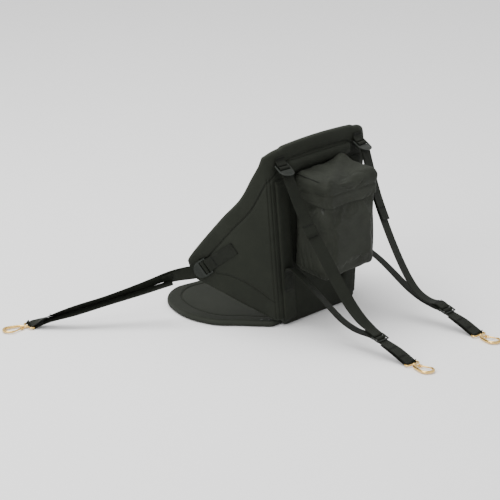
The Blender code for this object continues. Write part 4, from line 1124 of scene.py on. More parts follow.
def makeLid():
    b = bagSetup
    wall = b["lidGap"] + b["lidWall"]
    half = b["width"] / 2 + wall
    back = bagBack
    deep = b["depth"] + wall
    top = bagTop + wall
    edge = top - b["skirt"]
    low = (-half, back, edge - 0.030)
    high = (half, back + deep, top)
    mesh = roundedBlock(low, high, b["corner"] * 0.9)
    spots = coordinates(mesh)
    held = np.maximum(unit((back + 0.005 - spots[:, 1]) / 0.003), unit((edge - 0.016 - spots[:, 2]) / 0.01))
    mesh = relaxed("lid", mesh, held, 0.0035, 0.0002)
    bm = bmesh.new()
    bm.from_mesh(mesh)
    for place, away in (((0, 0, edge), (0, 0, -1)), ((0, back + 0.0006, 0), (0, -1, 0))):
        whole = bm.verts[:] + bm.edges[:] + bm.faces[:]
        bmesh.ops.bisect_plane(bm, geom=whole, plane_co=place, plane_no=away, clear_outer=True)
    shell = bpy.data.meshes.new("lid")
    bm.to_mesh(shell)
    bm.free()
    fine = {"levels": 1, "render_levels": 1, "boundary_smooth": "PRESERVE_CORNERS"}
    shell = baked(shell, ("SUBSURF", fine))
    spots = coordinates(shell)
    x, y, z = spots.T
    normals = vertexNormals(shell)
    fall = b["slope"] * (1 - (y - back) / deep)
    onSide = unit(1 - np.abs(normals[:, 2]) * 2)
    near = unit((y - back) / deep)
    crease = edge + b["hemBand"] + 0.0012 * np.sin(x * 30 + 0.7)
    dent = hump(z - crease, 0.0032) * 0.0024 * onSide
    belly = np.sin(pi * unit((z - crease) / (top + fall - crease))) * onSide * unit(near * 6)
    swell = 0.0030 + 0.0018 * np.sin(x * 46 + 1.9) * np.cos(y * 39)
    lump = belly * (swell + 0.0009 * np.sin(x * 97 - y * 60 + z * 80))
    # The top is crumpled: a ridge along its rear corners, a hollow beside it and a peak at the far side.
    onTop = unit(normals[:, 2] * 1.6 - 0.3)
    beside = (half - x) * 0.521 + (y - back - deep) * 0.853
    hollow = hump(beside - 0.024, 0.017) * unit(near * 3)
    ridge = hump(beside + 0.002, 0.014)
    peak = np.exp(-(((x + half * 0.80) / 0.035) ** 2) - ((near - 0.12) / 0.30) ** 2)
    crumple = 0.0035 * ridge - 0.0062 * hollow + 0.0080 * peak
    crumple = crumple + 0.0010 * np.sin(x * 75 + y * 30) * np.sin(y * 64 + 0.8)
    hem = hump(z - edge - 0.009, 0.0014) * 0.0007 * onSide
    lift = 0.0016 * unit((edge + 0.014 - z) / 0.014) * onSide * (0.6 + 0.8 * np.sin(x * 48 + y * 61 + 1.0))
    moved = spots + normals * (-dent - hem + lump + np.maximum(lift, -0.0002))[:, None]
    moved[:, 2] += unit((edge + 0.016 - z) / 0.016) * 0.0022 * np.sin(x * 55 + y * 40 + 0.4)
    moved[:, 2] += onTop * crumple + unit((crease - z) / b["hemBand"]) * b["hemRise"] * (1 - near) ** 1.5
    moved[:, 1] = np.maximum(moved[:, 1], back + 0.0004)
    setCoordinates(shell, moved)
    wall = {"thickness": b["lidWall"] * 0.8, "offset": -1.0, "use_even_offset": True}
    lid = baked(shell, ("SOLIDIFY", wall))
    boxUv(lid)
    cover = addPiece("bag_cover", lid, bagFabric, replaced=("bag_lid",))
    for side in (1, -1):
        ends = (back + 0.012, back + deep - 0.016)
        seamLines.append([Vector((side * (half + 0.0012), y, edge + 0.009)) for y in ends])
    # Piping along the two side edges of the top panel
    bm = bmesh.new()
    for side in (1, -1):
        line = []
        for share in (0.03, 0.2, 0.4, 0.6, 0.8, 0.93):
            height = top - 0.0042 + b["slope"] * (1 - share)
            line.append(Vector((side * (half - 0.0016), back + deep * share, height)))
        tube(bm, smoothCurve(line, 4), 0.0014, 10)
    addPiece("lid_piping", meshOf(bm, "lid_piping"), webbingWeave)


fitting = {
    "lockThick": 0.0040,
    "lockBar": 0.0050,
    "lockTab": 0.018,
    "sliderThick": 0.0032,
    "sliderBar": 0.0034,
    "sliderSlot": 0.0068,
    "slotHalf": 0.0172,
    "rail": 0.0046,
    "topLock": (0.146, 0.031, 0.414),
    "topDrop": radians(34),
    "topYaw": radians(4),
    "wingLock": (0.183, 0.140),
    "wingLift": 0.0085,
    "wingDrop": radians(36),
    "wingSplay": radians(14),
    "slider": (0.130, 0.322, 0.0455),
    "sliderDrop": radians(21),
    "patch": (0.121, 0.092, 0.050),
    "patchLength": 0.072,
    "strapRoll": (radians(24), radians(8)),
    "rightSlack": (-0.017, -0.002, -0.032),
    "lowerLift": (0.006, 0.022),
    "lowerRoll": (radians(-18), radians(12)),
    "tabRise": 0.28,
    "voxel": 0.00042,
}
hookSetup = {
    "ring": 0.0165,
    "bar": 0.0028,
    "length": 0.080,
    "eyeBar": 0.0022,
    "eyeLength": 0.012,
    "neck": 0.016,
    "gate": 0.0021,
    "cheek": 0.0012,
    "lug": 0.0026,
    "lugRadius": 0.0032,
    "rearEye": (0.130, 0.414),
    "rearSwing": radians(9),
    "frontEye": (0.545, -0.453),
    "frontSwing": radians(-16),
    "nose": radians(206),
    "swell": 0.34,  # how much thicker the ring is in its middle
    "taper": 0.28,  # how much thinner its tip is
    "voxel": 0.00047,
    "gateVoxel": 0.00034,
}
lockWrapRadius = fitting["lockBar"] / 2 + wrapGap + 0.0008
lockPitch = 2 * lockWrapRadius + layer
lockRamp = lockWrapRadius + wrapGap + 0.0006
sliderPitch = fitting["sliderBar"] + fitting["sliderSlot"]
hookLevel = hookSetup["eyeBar"] + wrapGap + 0.0003 + seat["webThick"] / 2 + 0.0003
ringCentre = hookSetup["length"] - hookSetup["eyeBar"] - hookSetup["bar"] - hookSetup["ring"]
gatePivot = Vector((-0.0052, hookSetup["eyeLength"] + 0.0150, 0))


def frameAt(origin, along, normal):
    # x across the webbing, y along it, z off its face.
    along = along.normalized()
    normal = (normal - normal.dot(along) * along).normalized()
    place = Matrix((along.cross(normal), along, normal)).transposed().to_4x4()
    place.translation = origin
    return place


def axis(place, number):
    return Vector(place.col[number][:3])


def mirrored(place):
    across, along, normal, origin = (Vector(column[:3]) for column in place.col)
    flip = Vector((-1, 1, 1))
    turned = Matrix((-across * flip, along * flip, normal * flip)).transposed().to_4x4()
    turned.translation = origin * flip
    return turned


def arc(centre, radius, start, end, steps, lastRadius=None):
    last = radius if lastRadius is None else lastRadius
    points = []
    for step in range(steps + 1):
        share = step / steps
        angle = radians(start + (end - start) * share)
        reach = radius + (last - radius) * share
        points.append((centre[0] + reach * cos(angle), centre[1] + reach * sin(angle)))
    return points


def inFrame(place, points):
    across = axis(place, 0)
    return [(place @ Vector((0, along, off)), across) for along, off in points]


def wingFrame():
    reach, height = fitting["wingLock"]
    along = (padPoint(reach + 0.001, height) - padPoint(reach, height)).normalized()
    rise = (padPoint(reach, height + 0.001) - padPoint(reach, height)).normalized()
    normal = rise.cross(along).normalized()
    run = along * cos(fitting["wingDrop"]) - rise * sin(fitting["wingDrop"])
    splayed = run * cos(fitting["wingSplay"]) + normal * sin(fitting["wingSplay"])
    origin = padPoint(reach, height) + normal * (seat["padThick"] / 2 + fitting["wingLift"])
    return frameAt(origin, splayed, normal), run, normal


def topFrame():
    out = Vector((sin(fitting["topYaw"]), cos(fitting["topYaw"]), 0))
    along = out * cos(fitting["topDrop"]) - Vector((0, 0, sin(fitting["topDrop"])))
    across, back, height = fitting["topLock"]
    return frameAt(Vector((across, seat["rear"] + back, height)), along, out)


def sliderFrame():
    across, back, height = fitting["slider"]
    along = Vector((0, cos(fitting["sliderDrop"]), -sin(fitting["sliderDrop"])))
    return frameAt(Vector((across, seat["rear"] + back, height)), along, Vector((0, 0, 1)))


def hookFrame(eye, swing):
    across, back = eye
    heading = Vector((sin(swing), cos(swing), 0)) if back > 0 else Vector((cos(swing), sin(swing), 0))
    return frameAt(Vector((across, seat["rear"] + back, hookLevel)), heading, Vector((0, 0, 1)))


def rightRearHook():
    place = hookFrame(hookSetup["rearEye"], hookSetup["rearSwing"])
    place.translation.x = -hookSetup["rearEye"][0]
    return place


def smoothStations(stations, steps):
    centres = smoothCurve([centre for centre, across in stations], steps)
    turns = smoothCurve([across for centre, across in stations], steps)
    return list(zip(centres, turns))


def freeRun(centres, firstAcross, lastAcross, steps):
    path = smoothCurve(centres, steps)
    count = len(path) - 1
    return [(point, firstAcross.lerp(lastAcross, i / count)) for i, point in enumerate(path)]


def stripNormals(stations, hint):
    normals = []
    for i, station in enumerate(stations):
        run = stations[min(i + 1, len(stations) - 1)][0] - stations[max(i - 1, 0)][0]
        off = station[1].cross(run).normalized()
        normals.append(off if off.dot(hint) > 0 else -off)
    return normals


def rolled(stations, angle):
    turned = []
    last = len(stations) - 1
    for i, (centre, across) in enumerate(stations):
        run = stations[min(i + 1, last)][0] - stations[max(i - 1, 0)][0]
        turn = Matrix.Rotation(angle * sin(pi * i / last), 3, run.normalized())
        turned.append((centre, turn @ across))
    return turned


def lyingTail(main, normals, count, slip):
    tail = []
    for i in range(count):
        centre, across = main[i]
        share = i / (count - 1)
        lift = layer + 0.0004 + 0.0016 * share
        tail.append((centre + normals[i] * lift + across.normalized() * slip * share, across))
    return tail


webSection = {"ranks": 6, "turns": (30, 60, 90, 120, 150)}


def webProfile(half, thick):
    # Rounded flat section from half its width and thickness, a little fuller at the selvedges.
    top = []
    for k in range(webSection["ranks"] + 1):
        x = (half - thick) * (1 - 2 * k / webSection["ranks"])
        top.append((x, thick * (0.90 + 0.10 * (abs(x) / half) ** 6)))
    turns = [radians(turn) for turn in webSection["turns"]]
    side = [(-half + thick - thick * sin(turn), thick * cos(turn)) for turn in turns]
    edge = top + side
    return edge + [(-x, -y) for x, y in edge]


def woven(name, stations, replaced, half, thick):
    # A woven strap swept along stations of (centre, direction across).
    kept = [stations[0]]
    for station in stations[1:]:
        if (station[0] - kept[-1][0]).length > 0.0004:
            kept.append(station)
    acrosses = [kept[0][1].normalized()]
    for centre, across in kept[1:]:
        turn = across.normalized()
        acrosses.append(turn if turn.dot(acrosses[-1]) > 0 else -turn)
    fine = smoothStations([(c, a) for (c, a), a in zip(kept, acrosses)], 3)
    path = []
    run = None
    for i, (centre, across) in enumerate(fine):
        run = (fine[min(i + 1, len(fine) - 1)][0] - fine[max(i - 1, 0)][0]).normalized()
        across = (across - across.dot(run) * run).normalized()
        # The floor holds both edges up.
        centre = Vector((centre.x, centre.y, max(centre.z, thick * 1.3)))
        steepest = (centre.z - thick * 1.2) / half
        if abs(across.z) > steepest:
            level = Vector((across.x, across.y, 0)).normalized() * (1 - steepest**2) ** 0.5
            across = level + Vector((0, 0, steepest if across.z > 0 else -steepest))
        path.append((centre, across, run.cross(across).normalized()))
    profile = webProfile(half, thick)
    bm = bmesh.new()
    rings = sweep(bm, path, [profile] * len(path))
    along = [0.0]
    for a, b in zip(path, path[1:]):
        along.append(along[-1] + (b[0] - a[0]).length)
    bm.verts.index_update()
    uv = np.zeros((len(bm.verts), 2))
    for ring, length in zip(rings, along):
        for vert, spot in zip(ring, profile):
            uv[vert.index] = (spot[0], length)
    mesh = meshOf(bm, name)
    uvLayer(mesh, uv)
    return addPiece(name, mesh, webbingWeave, replaced=replaced), along[-1]


def webbing(name, stations, replaced):
    return woven(name, stations, replaced, seat["webWidth"] / 2, seat["webThick"] / 2)[1]


tapeSetup = {"width": 0.236, "leg": 0.028, "thick": 0.0012, "bend": 0.004}


def makeHingeTape():
    # Cloth tape sewn into the corner between base and backrest, a row of stitches along each leg.
    t = tapeSetup
    level = baseSetup["thick"] + seat["gap"] + t["thick"] / 2
    wall = frontFace - seat["gap"] - t["thick"] / 2
    bend = t["bend"]
    places = [(wall - t["leg"], level), (wall - t["leg"] / 2, level), (wall - bend, level)]
    places += [(wall - 0.3 * bend, level + 0.3 * bend), (wall, level + bend), (wall, level + t["leg"])]
    stations = [(Vector((0, y, z)), Vector((1, 0, 0))) for y, z in places]
    half = t["width"] / 2
    for y, z in (
        (wall - t["leg"] + 0.004, level + t["thick"] / 2),
        (wall - t["thick"] / 2, level + t["leg"] - 0.004),
    ):
        seamLines.append([Vector((half * share * 0.97, y, z)) for share in (-1, -0.5, 0, 0.5, 1)])
    piece, length = woven("fold_tape", stations, ("hinge_tape",), half, t["thick"] / 2)
    return [length]


def sew(side, place, rows):
    # Rows of thread in a frame whose x runs across a strap and z off its face.
    place = place if side > 0 else mirrored(place)
    for row in rows:
        seamLines.append([place @ Vector((x, y, 0)) for x, y in row])


def barTack(width=0.026, count=7):
    pitch = stitchSetup["tackPitch"]
    return [[(x, (k - (count - 1) / 2) * pitch) for x in (-width / 2, 0, width / 2)] for k in range(count)]


def boxStitch(length, width=0.025):
    corners = [(-1, -1), (1, -1), (1, 1), (-1, 1), (-1, -1), (1, 1)]
    return [[(x * width / 2, y * length / 2) for x, y in line] for line in (corners, [(-1, 1), (1, -1)])]


def bothSides(build):
    lengths = []
    for side, word in ((1, "left"), (-1, "right")):
        flip = Vector((side, 1, 1))
        lengths.append(build(word, lambda stations: [(c * flip, a * flip) for c, a in stations], side))
    return lengths


def anchorLoop(place):
    return inFrame(place, arc((-lockPitch, 0.0), lockWrapRadius, 90, -90, 9))


def makeWingAnchors():
    place, run, normal = wingFrame()
    across = run.cross(normal)
    loop = anchorLoop(place)
    reach, height = fitting["wingLock"]
    skin = padPoint(reach, height) + normal * (seat["padThick"] / 2 + wrapGap)
    inner = []
    outer = []
    for back in (0.030, 0.045, 0.070, fitting["patchLength"] + 0.030):
        inner.append((skin - run * back, across))
        outer.append((skin - run * back + normal * layer, across))
    lead = [(skin - run * 0.021 + normal * (layer + 0.0022), across)]
    tuck = [(skin - run * 0.021 + normal * 0.0006, across)]
    stations = outer[::-1] + lead + loop + tuck + inner
    patch = frameAt(skin - run * 0.074 + normal * (layer + 0.0009), run, normal)
    tack = frameAt(skin - run * 0.030 + normal * (layer + 0.0010), run, normal)

    def build(word, flip, side):
        sew(side, patch, boxStitch(0.036))
        sew(side, tack, barTack())
        return webbing(f"wing_tab_{word}", flip(stations), (f"wing_anchor_{word}",))

    return bothSides(build)


def makeTopAnchors():
    place = topFrame()
    loop = anchorLoop(place)
    across = axis(place, 0)
    flat = Vector((1, 0, 0))
    face = rearFace + wrapGap
    foot = place @ Vector((0, -lockPitch, 0))
    inner = []
    outer = []
    for low, high in ((0.0045, 0.0105), (0.0120, 0.0145), (0.020, 0.020)):
        inner.append((Vector((foot.x, face, foot.z + low)), flat))
        outer.append((Vector((foot.x, face + layer, foot.z + high)), flat))
    midIn = (Vector((foot.x, face + 0.0004, foot.z - 0.0012)), across.lerp(flat, 0.5))
    midOut = (Vector((foot.x, face + 0.0048, foot.z + 0.0064)), across.lerp(flat, 0.5))
    stations = outer[::-1] + [midOut] + loop + [midIn] + inner
    patch = frameAt(outer[1][0] + Vector((0, 0.0009, 0.002)), Vector((0, 0, 1)), Vector((0, 1, 0)))

    def build(word, flip, side):
        sew(side, patch, barTack(0.027))
        return webbing(f"top_tab_{word}", flip(stations), (f"top_anchor_{word}",))

    return bothSides(build)


def lockWrap():
    tail = -fitting["lockThick"] / 2 - wrapGap - 0.0002
    main = tail - layer - 0.0003
    bend = 0.0016
    end = lockRamp + fitting["lockBar"]
    over = [(end + 0.002, tail), (lockRamp + 0.5 * fitting["lockBar"], tail)]
    over += arc((lockWrapRadius + bend, tail + bend), bend, 270, 180, 3)
    over += arc((0, 0), lockWrapRadius, 15, 180, 8)
    over += arc((0, 0), lockWrapRadius, 200, 270, 3, -main)
    over += [(lockRamp, main), (end + 0.002, main)]
    return over, main


def eyeWrap():
    return arc((0, 0), hookSetup["eyeBar"] + wrapGap + 0.0003, 90, -90, 9)


def makeRearUpperStraps():
    lock, slider = topFrame(), sliderFrame()
    wrap, level = lockWrap()
    turn = fitting["sliderBar"] / 2 + wrapGap + 0.0006
    loop = arc((-sliderPitch, 0), turn, 90, -90, 9)
    endRun = [(-sliderPitch - 0.012, -turn), (-sliderPitch - 0.030, -turn + 0.0012)]
    start = lock @ Vector((0, lockRamp + fitting["lockBar"] + 0.006, level))
    middle = (
        (0.143, 0.090, 0.309), (0.140, 0.140, 0.236), (0.137, 0.190, 0.165),
        (0.134, 0.232, 0.110), (0.132, 0.268, 0.077),
    )
    finish = slider @ Vector((0, -sliderPitch - 0.014, turn + 0.0006))
    first, last = axis(lock, 0), axis(slider, 0)
    sewn = slider @ Vector((0, -sliderPitch - 0.020, turn + 0.0013))
    tack = frameAt(sewn, axis(slider, 1), axis(slider, 2))

    def build(word, flip, side):
        slack = Vector(fitting["rightSlack"]) * (side < 0)
        hanging = [start]
        for number, (x, y, z) in enumerate(middle, 1):
            hanging.append(Vector((x, seat["rear"] + y, z)) + slack * sin(pi * number / (len(middle) + 1)))
        run = rolled(freeRun([*hanging, finish], first, last, 3), fitting["strapRoll"][side < 0])
        normals = stripNormals(run, Vector((0, 1, 1)))
        tail = lyingTail(run, normals, 6, 0.004)
        stations = tail[::-1] + inFrame(lock, wrap) + run + inFrame(slider, loop) + inFrame(slider, endRun)
        tip = frameAt(tail[-2][0] + normals[4] * 0.0009, tail[-1][0] - tail[-3][0], normals[4])
        for spot in (tip, tack):
            sew(side, spot, barTack())
        return webbing(f"upper_strap_{word}", flip(stations), (f"rear_upper_strap_{word}",))

    return bothSides(build)


def makeRearLowerStraps():
    across, low, height = fitting["patch"]
    flat = Vector((1, 0, 0))
    face = rearFace + seat["gap"] + stripSetup["sleeveThick"] + wrapGap
    slider = sliderFrame()
    patch = [(Vector((across, face, low + height * share)), flat) for share in (0.0, 0.5, 1.0)]
    spread = (
        (0.121, 0.0285, 0.150), (0.1215, 0.039, 0.151), (0.123, 0.072, 0.133), (0.125, 0.112, 0.110),
        (0.127, 0.152, 0.085), (0.129, 0.202, 0.057), (0.130, 0.250, 0.0445),
    )
    through = (
        (-0.026, -0.0096), (-0.016, -0.0068), (-0.0105, -0.0062), (-0.0066, -0.0049), (-0.0046, -0.0022),
        (-0.0031, 0.0014), (0.0, 0.0030), (0.0031, 0.0014), (0.0044, -0.0012),
        (0.0066, -0.0029), (0.0130, -0.0031),
    )
    passing = inFrame(slider, through)
    sewn = frameAt(patch[1][0] + Vector((0, 0.0009, 0)), Vector((0, 0, 1)), Vector((0, 1, 0)))

    def build(word, flip, side):
        lift = fitting["lowerLift"][side < 0]
        lead = [
            Vector((x, seat["rear"] + y, z + lift * sin(pi * number / len(spread))))
            for number, (x, y, z) in enumerate(spread)
        ]
        roll = fitting["lowerRoll"][side < 0]
        free = rolled(freeRun([patch[-1][0], *lead, passing[0][0]], flat, flat, 2), roll)[1:-1]
        bar = hookFrame(hookSetup["rearEye"], hookSetup["rearSwing"]) if side > 0 else rightRearHook()
        turned = []
        for along, off in eyeWrap():
            spot, turn = bar @ Vector((0, along, off)), axis(bar, 0)
            if side < 0:
                spot, turn = Vector((-spot.x, spot.y, spot.z)), Vector((-turn.x, turn.y, turn.z))
            turned.append((spot, turn if turn.x > 0 else -turn))
        outEnd, acrossEnd = turned[0]
        backEnd = turned[-1][0]
        outStart = passing[-1][0]
        sag = Vector((0, 0, 0.0035))
        out = freeRun([outStart, outStart.lerp(outEnd, 0.5) + sag, outEnd], flat, acrossEnd, 4)[1:-1]
        stop = slider @ Vector((0, 0.0175, -0.0031 - layer - 0.0008))
        under = freeRun([backEnd, backEnd.lerp(stop, 0.5) + 0.2 * sag, stop], acrossEnd, flat, 4)[1:]
        stations = patch + free + passing + out + turned + under
        sew(side, sewn, boxStitch(0.038))
        for centre, turn in (out[-2], out[2]):
            spot = frameAt(centre + Vector((0, 0, 0.0010)), outEnd - outStart, Vector((0, 0, 1)))
            sew(side, spot, barTack())
        return webbing(f"lower_strap_{word}", flip(stations), (f"rear_lower_strap_{word}",))

    return bothSides(build)


def makeFrontStraps():
    lock = wingFrame()[0]
    wrap, level = lockWrap()
    bar = hookFrame(hookSetup["frontEye"], hookSetup["frontSwing"])
    start = lock @ Vector((0, lockRamp + fitting["lockBar"] + 0.010, level))
    up = Vector((0, 0, 1))
    eye = Vector(bar.translation)
    heading = Vector((eye.x - start.x, eye.y - start.y, 0)).normalized()
    near = Vector((-heading.y, heading.x, 0))
    lockAcross, barAcross = axis(lock, 0), axis(bar, 0)
    barAcross = barAcross if barAcross.dot(near) > 0 else -barAcross
    half = seat["webWidth"] / 2
    upper = [(start, lockAcross)]
    lower = []
    for share, height in ((0.16, 0.107), (0.34, 0.085), (0.55, 0.061), (0.74, 0.0385), (0.89, 0.0225)):
        ground = start.lerp(eye, share)
        point = Vector((ground.x, ground.y, height))
        roll = radians(78 - 37 * min(1.0, share / 0.5)) * (1 - max(0.0, share - 0.78) / 0.26)
        over = near * cos(roll) + up * sin(roll)
        under = near * cos(radians(4)) - up * sin(radians(4))
        settle = max(0.0, (share - 0.74) / 0.26)
        point -= near * half * settle * 0.9
        upper.append((point + over * half, over))
        lower.append((point - up * (0.0002 + 0.0018 * settle) + under * half, under))
    turn = [(bar @ Vector((0, along, off)), barAcross) for along, off in eyeWrap()]
    top = smoothStations([*upper, turn[0]], 3)[:-1]
    bottom = smoothStations([turn[-1], *lower[::-1]], 3)[1:]
    normals = stripNormals(top, Vector((1, 1, 0.4)))
    tail = lyingTail(top, normals, 5, -0.006)
    stations = tail[::-1] + inFrame(lock, wrap) + top + turn + bottom
    tip = frameAt(tail[-2][0] + normals[3] * 0.0009, tail[-1][0] - tail[-3][0], normals[3])
    tack = frameAt(top[-3][0] + up * 0.0010, top[-1][0] - top[-4][0], up)

    def build(word, flip, side):
        for spot in (tip, tack):
            sew(side, spot, barTack())
        return webbing(f"side_strap_{word}", flip(stations), (f"front_strap_{word}",))

    return bothSides(build)


def moulded(bm, voxel, rounds=3):
    # Fuses overlapping closed shapes into one moulding with softened corners.
    fused = ("REMESH", {"mode": "VOXEL", "voxel_size": voxel})
    return baked(meshOf(bm, "moulding"), fused, ("SMOOTH", {"factor": 0.5, "iterations": rounds}))


def bar(bm, start, end, size, normal=Vector((0, 0, 1))):
    start, end = Vector(start), Vector(end)
    side = normal.cross((end - start).normalized()).normalized()
    sweep(bm, [(start, side, normal), (end, side, normal)], [roundedBox(size)] * 2)


def lockShape():
    f = fitting
    rear = -lockPitch - f["lockBar"] / 2
    front = lockRamp + f["lockBar"]
    rail = f["slotHalf"] + f["rail"] / 2
    bm = bmesh.new()
    for side in (1, -1):
        ends = [(side * rail, y, 0) for y in (rear + 0.0006, front + 0.002)]
        bar(bm, *ends, (f["rail"], f["lockThick"] + 0.0006))
    for along, wide in ((-lockPitch, f["lockBar"]), (0, f["lockBar"] - 0.0002)):
        bar(bm, (-rail, along, 0), (rail, along, 0), (wide, f["lockThick"]))
    # The lifting tab: a bowed plate that narrows and thins towards its lip.
    path, profiles = [], []
    for k in range(9):
        y = lockRamp + 0.0008 + k / 8 * (f["lockTab"] + f["lockBar"] - 0.0008)
        past = max(0.0, y - front)
        width = f["slotHalf"] + f["rail"]
        if past:
            width *= 0.88 * sqrt(max(0.03, 1 - (past / f["lockTab"]) ** 2.2)) + 0.06
        thick = f["lockThick"] * (1 - 0.45 * min(1, past / f["lockTab"]))
        path.append((Vector((0, y, f["tabRise"] * past)), Vector((1, 0, 0)), Vector((0, 0, 1))))
        profiles.append(roundedBox((2 * width, thick)))
    sweep(bm, path, profiles)
    for k in range(4):
        y = front + 0.003 + k * 0.0028
        z = f["tabRise"] * (y - front) + f["lockThick"] * 0.36
        wide = f["slotHalf"] * (0.78 - 0.10 * k)
        bar(bm, (-wide, y, z), (wide, y, z), (0.0011, 0.0012))
    return moulded(bm, fitting["voxel"])


def sliderShape():
    f = fitting
    rail = f["slotHalf"] + f["rail"] / 2
    end = sliderPitch + f["sliderBar"] / 2
    bm = bmesh.new()
    for side in (1, -1):
        ends = [(side * rail, y, 0) for y in (-end + 0.0016, end - 0.0016)]
        bar(bm, *ends, (f["rail"], f["sliderThick"] + 0.0004))
    for along in (-sliderPitch, 0, sliderPitch):
        bar(bm, (-rail - 0.0008, along, 0), (rail + 0.0008, along, 0), (f["sliderBar"], f["sliderThick"]))
    return moulded(bm, fitting["voxel"])


def makeFittings():
    lock, slider = lockShape(), sliderShape()
    for name, mesh, place, node in (
        ("top_lock", lock, topFrame(), "ladder_lock_top"),
        ("wing_lock", lock, wingFrame()[0], "ladder_lock_wing"),
        ("slider", slider, sliderFrame(), "strap_slider"),
    ):
        for word, turn in (("left", place), ("right", mirrored(place))):
            shape = mesh.copy()
            shape.transform(turn)
            addPiece(f"{name}_{word}", shape, plastic, replaced=(f"{node}_{word}",))
    print("fittings", len(lock.polygons), len(slider.polygons))


def hookShape():
    h = hookSetup
    half = fitting["slotHalf"] + h["eyeBar"]
    bend = 0.0045
    eye = []
    for cx, cy, start in (
        (half - bend, h["eyeLength"] - bend, 0), (-half + bend, h["eyeLength"] - bend, 90),
        (-half + bend, bend, 180), (half - bend, bend, 270),
    ):
        eye += [Vector((x, y, 0)) for x, y in arc((cx, cy), bend, start, start + 90, 5)]
    neck, ring = h["eyeLength"], h["ring"]
    spine = [
        Vector((0, neck, 0)), Vector((0, neck + 0.006, 0)), Vector((0.004, neck + 0.5 * h["neck"], 0)),
        Vector((0.011, neck + h["neck"], 0)), Vector((ring * 0.95, ringCentre - 0.010, 0)),
    ]
    path = smoothCurve(spine, 4)
    for turn in (h["nose"] * k / 28 for k in range(29)):
        path.append(Vector((ring * cos(turn), ringCentre + ring * sin(turn), 0)))
    count = len(path)
    thick = []
    for i in range(count):
        swell = sin(pi * min(1.0, max(0.0, (i - 6) / (count - 14))))
        thick.append(h["bar"] * (1 + h["swell"] * swell - h["taper"] * max(0.0, (i - count + 5) / 4)))
    bm = bmesh.new()
    tube(bm, eye, h["eyeBar"], 16, closed=True, start=Vector((0, 0, 1)))
    tube(bm, path, thick, 16)
    # Collar of the swivel, lug and the bridge that joins the lug to the spine
    collar = ((-0.001, 0.0034), (0.0010, 0.0042), (0.0034, 0.0042), (0.0052, 0.0032))
    tube(bm, [Vector((0, neck + up, 0)) for up, wide in collar], [wide for up, wide in collar], 18)
    lug = [Vector((gatePivot.x, gatePivot.y, sign * h["lug"] / 2)) for sign in (-1, 1)]
    tube(bm, lug, h["lugRadius"], 18)
    bar(bm, (gatePivot.x, gatePivot.y - 0.0008, 0), (spine[3].x, gatePivot.y - 0.0008, 0), (0.0050, h["lug"]))
    bar(bm, (gatePivot.x * 0.45, neck + 0.0078, 0), (0.0068, neck + 0.0100, 0), (0.0086, 0.0036))
    return moulded(bm, h["voxel"])


def gateFrame():
    h = hookSetup
    nose = Vector((h["ring"] * cos(h["nose"]), ringCentre + h["ring"] * sin(h["nose"]), 0))
    reach = (nose - gatePivot).length - h["gate"] * 0.2 - 2 * seat["gap"]
    return frameAt(gatePivot, nose - gatePivot, Vector((0, 0, 1))), reach


def gateShape(reach):
    h = hookSetup
    bm = bmesh.new()
    line = [Vector((0, y, 0)) for y in (0.0046, 0.008, reach * 0.6, reach - 0.0030, reach - 0.0012, reach)]
    tube(bm, line, [h["gate"] * k for k in (1.08, 1.0, 0.94, 0.98, 1.0, 0.72)], 16)
    inner = h["lug"] / 2 + seat["gap"]
    for sign in (1, -1):
        z = sign * (inner + h["cheek"] / 2)
        bar(bm, (0, -0.0024, z), (0, 0.0076, z), (2 * h["gate"] + 0.0008, h["cheek"]))
    return moulded(bm, h["gateVoxel"], 2)


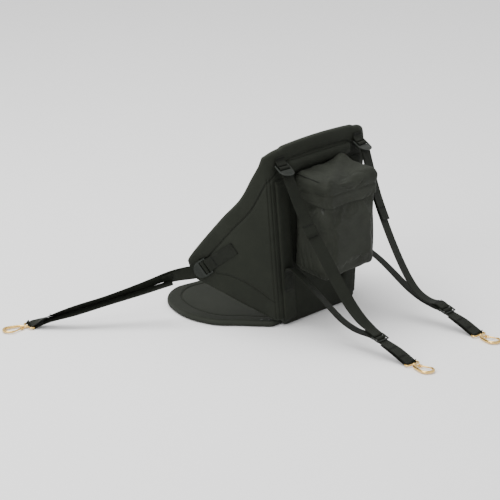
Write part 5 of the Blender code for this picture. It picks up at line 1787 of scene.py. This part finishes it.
def makeHooks():
    closed, reach = gateFrame()
    body, gate = hookShape(), gateShape(reach)
    left = hookFrame(hookSetup["frontEye"], hookSetup["frontSwing"])
    places = (
        ("front_left", left), ("front_right", mirrored(left)),
        ("rear_left", hookFrame(hookSetup["rearEye"], hookSetup["rearSwing"])),
        ("rear_right", rightRearHook()),
    )
    for word, place in places:
        for name, mesh, turn, rider, node in (
            (f"snap_hook_{word}", body, place, "seat", f"hook_{word}"),
            (f"gate_{word}", gate, place @ closed, f"gate_{word}", f"hook_gate_{word}"),
        ):
            shape = mesh.copy()
            shape.transform(turn)
            addPiece(name, shape, brass, body=rider, replaced=(node,))
    print("hooks", len(body.polygons), len(gate.polygons))


def makeZipPull():
    # Puller and its eye under the lid's hem.
    across = bagSetup["width"] / 2 + seat["gap"] + 0.001
    y = bagBack + bagSetup["depth"] - 0.012 - 0.004 - 0.002
    top = bagTop - bagSetup["skirt"] - 0.001
    bm = bmesh.new()
    bar(bm, (across, y, top - 0.0225), (across, y, top - 0.006), (0.0068, 0.0019), Vector((1, 0, 0)))
    ring = circle(1.0, 16)
    loop = [Vector((across, y + 0.0024 * back, top - 0.0042 + 0.0034 * up)) for back, up in ring]
    tube(bm, loop, 0.0008, 8, closed=True, start=Vector((1, 0, 0)))
    shape = moulded(bm, 0.0003, 2)
    addPiece("zip_puller", shape, zipMetal, replaced=("bag_zip_pull",))


makeBag()
makeLid()
makeZipPull()
print("bag made")
strapLengths = {
    "wing tabs": makeWingAnchors(),
    "top tabs": makeTopAnchors(),
    "upper straps": makeRearUpperStraps(),
    "lower straps": makeRearLowerStraps(),
    "side straps": makeFrontStraps(),
    "hinge tape": makeHingeTape(),
}
for name, lengths in strapLengths.items():
    print(name, [round(length, 3) for length in lengths])
makeFittings()
makeHooks()
makeStitches()
print("straps, fittings and hooks made")

# These stay as they were packed and only take a finish.
keptLooks = {
    "stay_batten": plastic,
    "corner_rivet": plastic,
    "gate_pin": brass,
}
for name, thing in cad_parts.items():
    for start, look in keptLooks.items():
        if name.startswith(start):
            thing.data.materials.clear()
            thing.data.materials.append(look)

ground = bpy.data.meshes.new("floor")
floorSetup = {"half": 30, "drop": 0.0005}
half = floorSetup["half"]
corners = ((-half, -half), (half, -half), (half, half), (-half, half))
ground.from_pydata([(x, y, -floorSetup["drop"]) for x, y in corners], [], [(0, 1, 2, 3)])
floor = linked("floor", ground)
ground.materials.append(floorLook())
floor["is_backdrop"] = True

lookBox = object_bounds()
boxes = {"cad": cadBox, "look": lookBox}
{name: [list(corner) for corner in box] for name, box in boxes.items()}
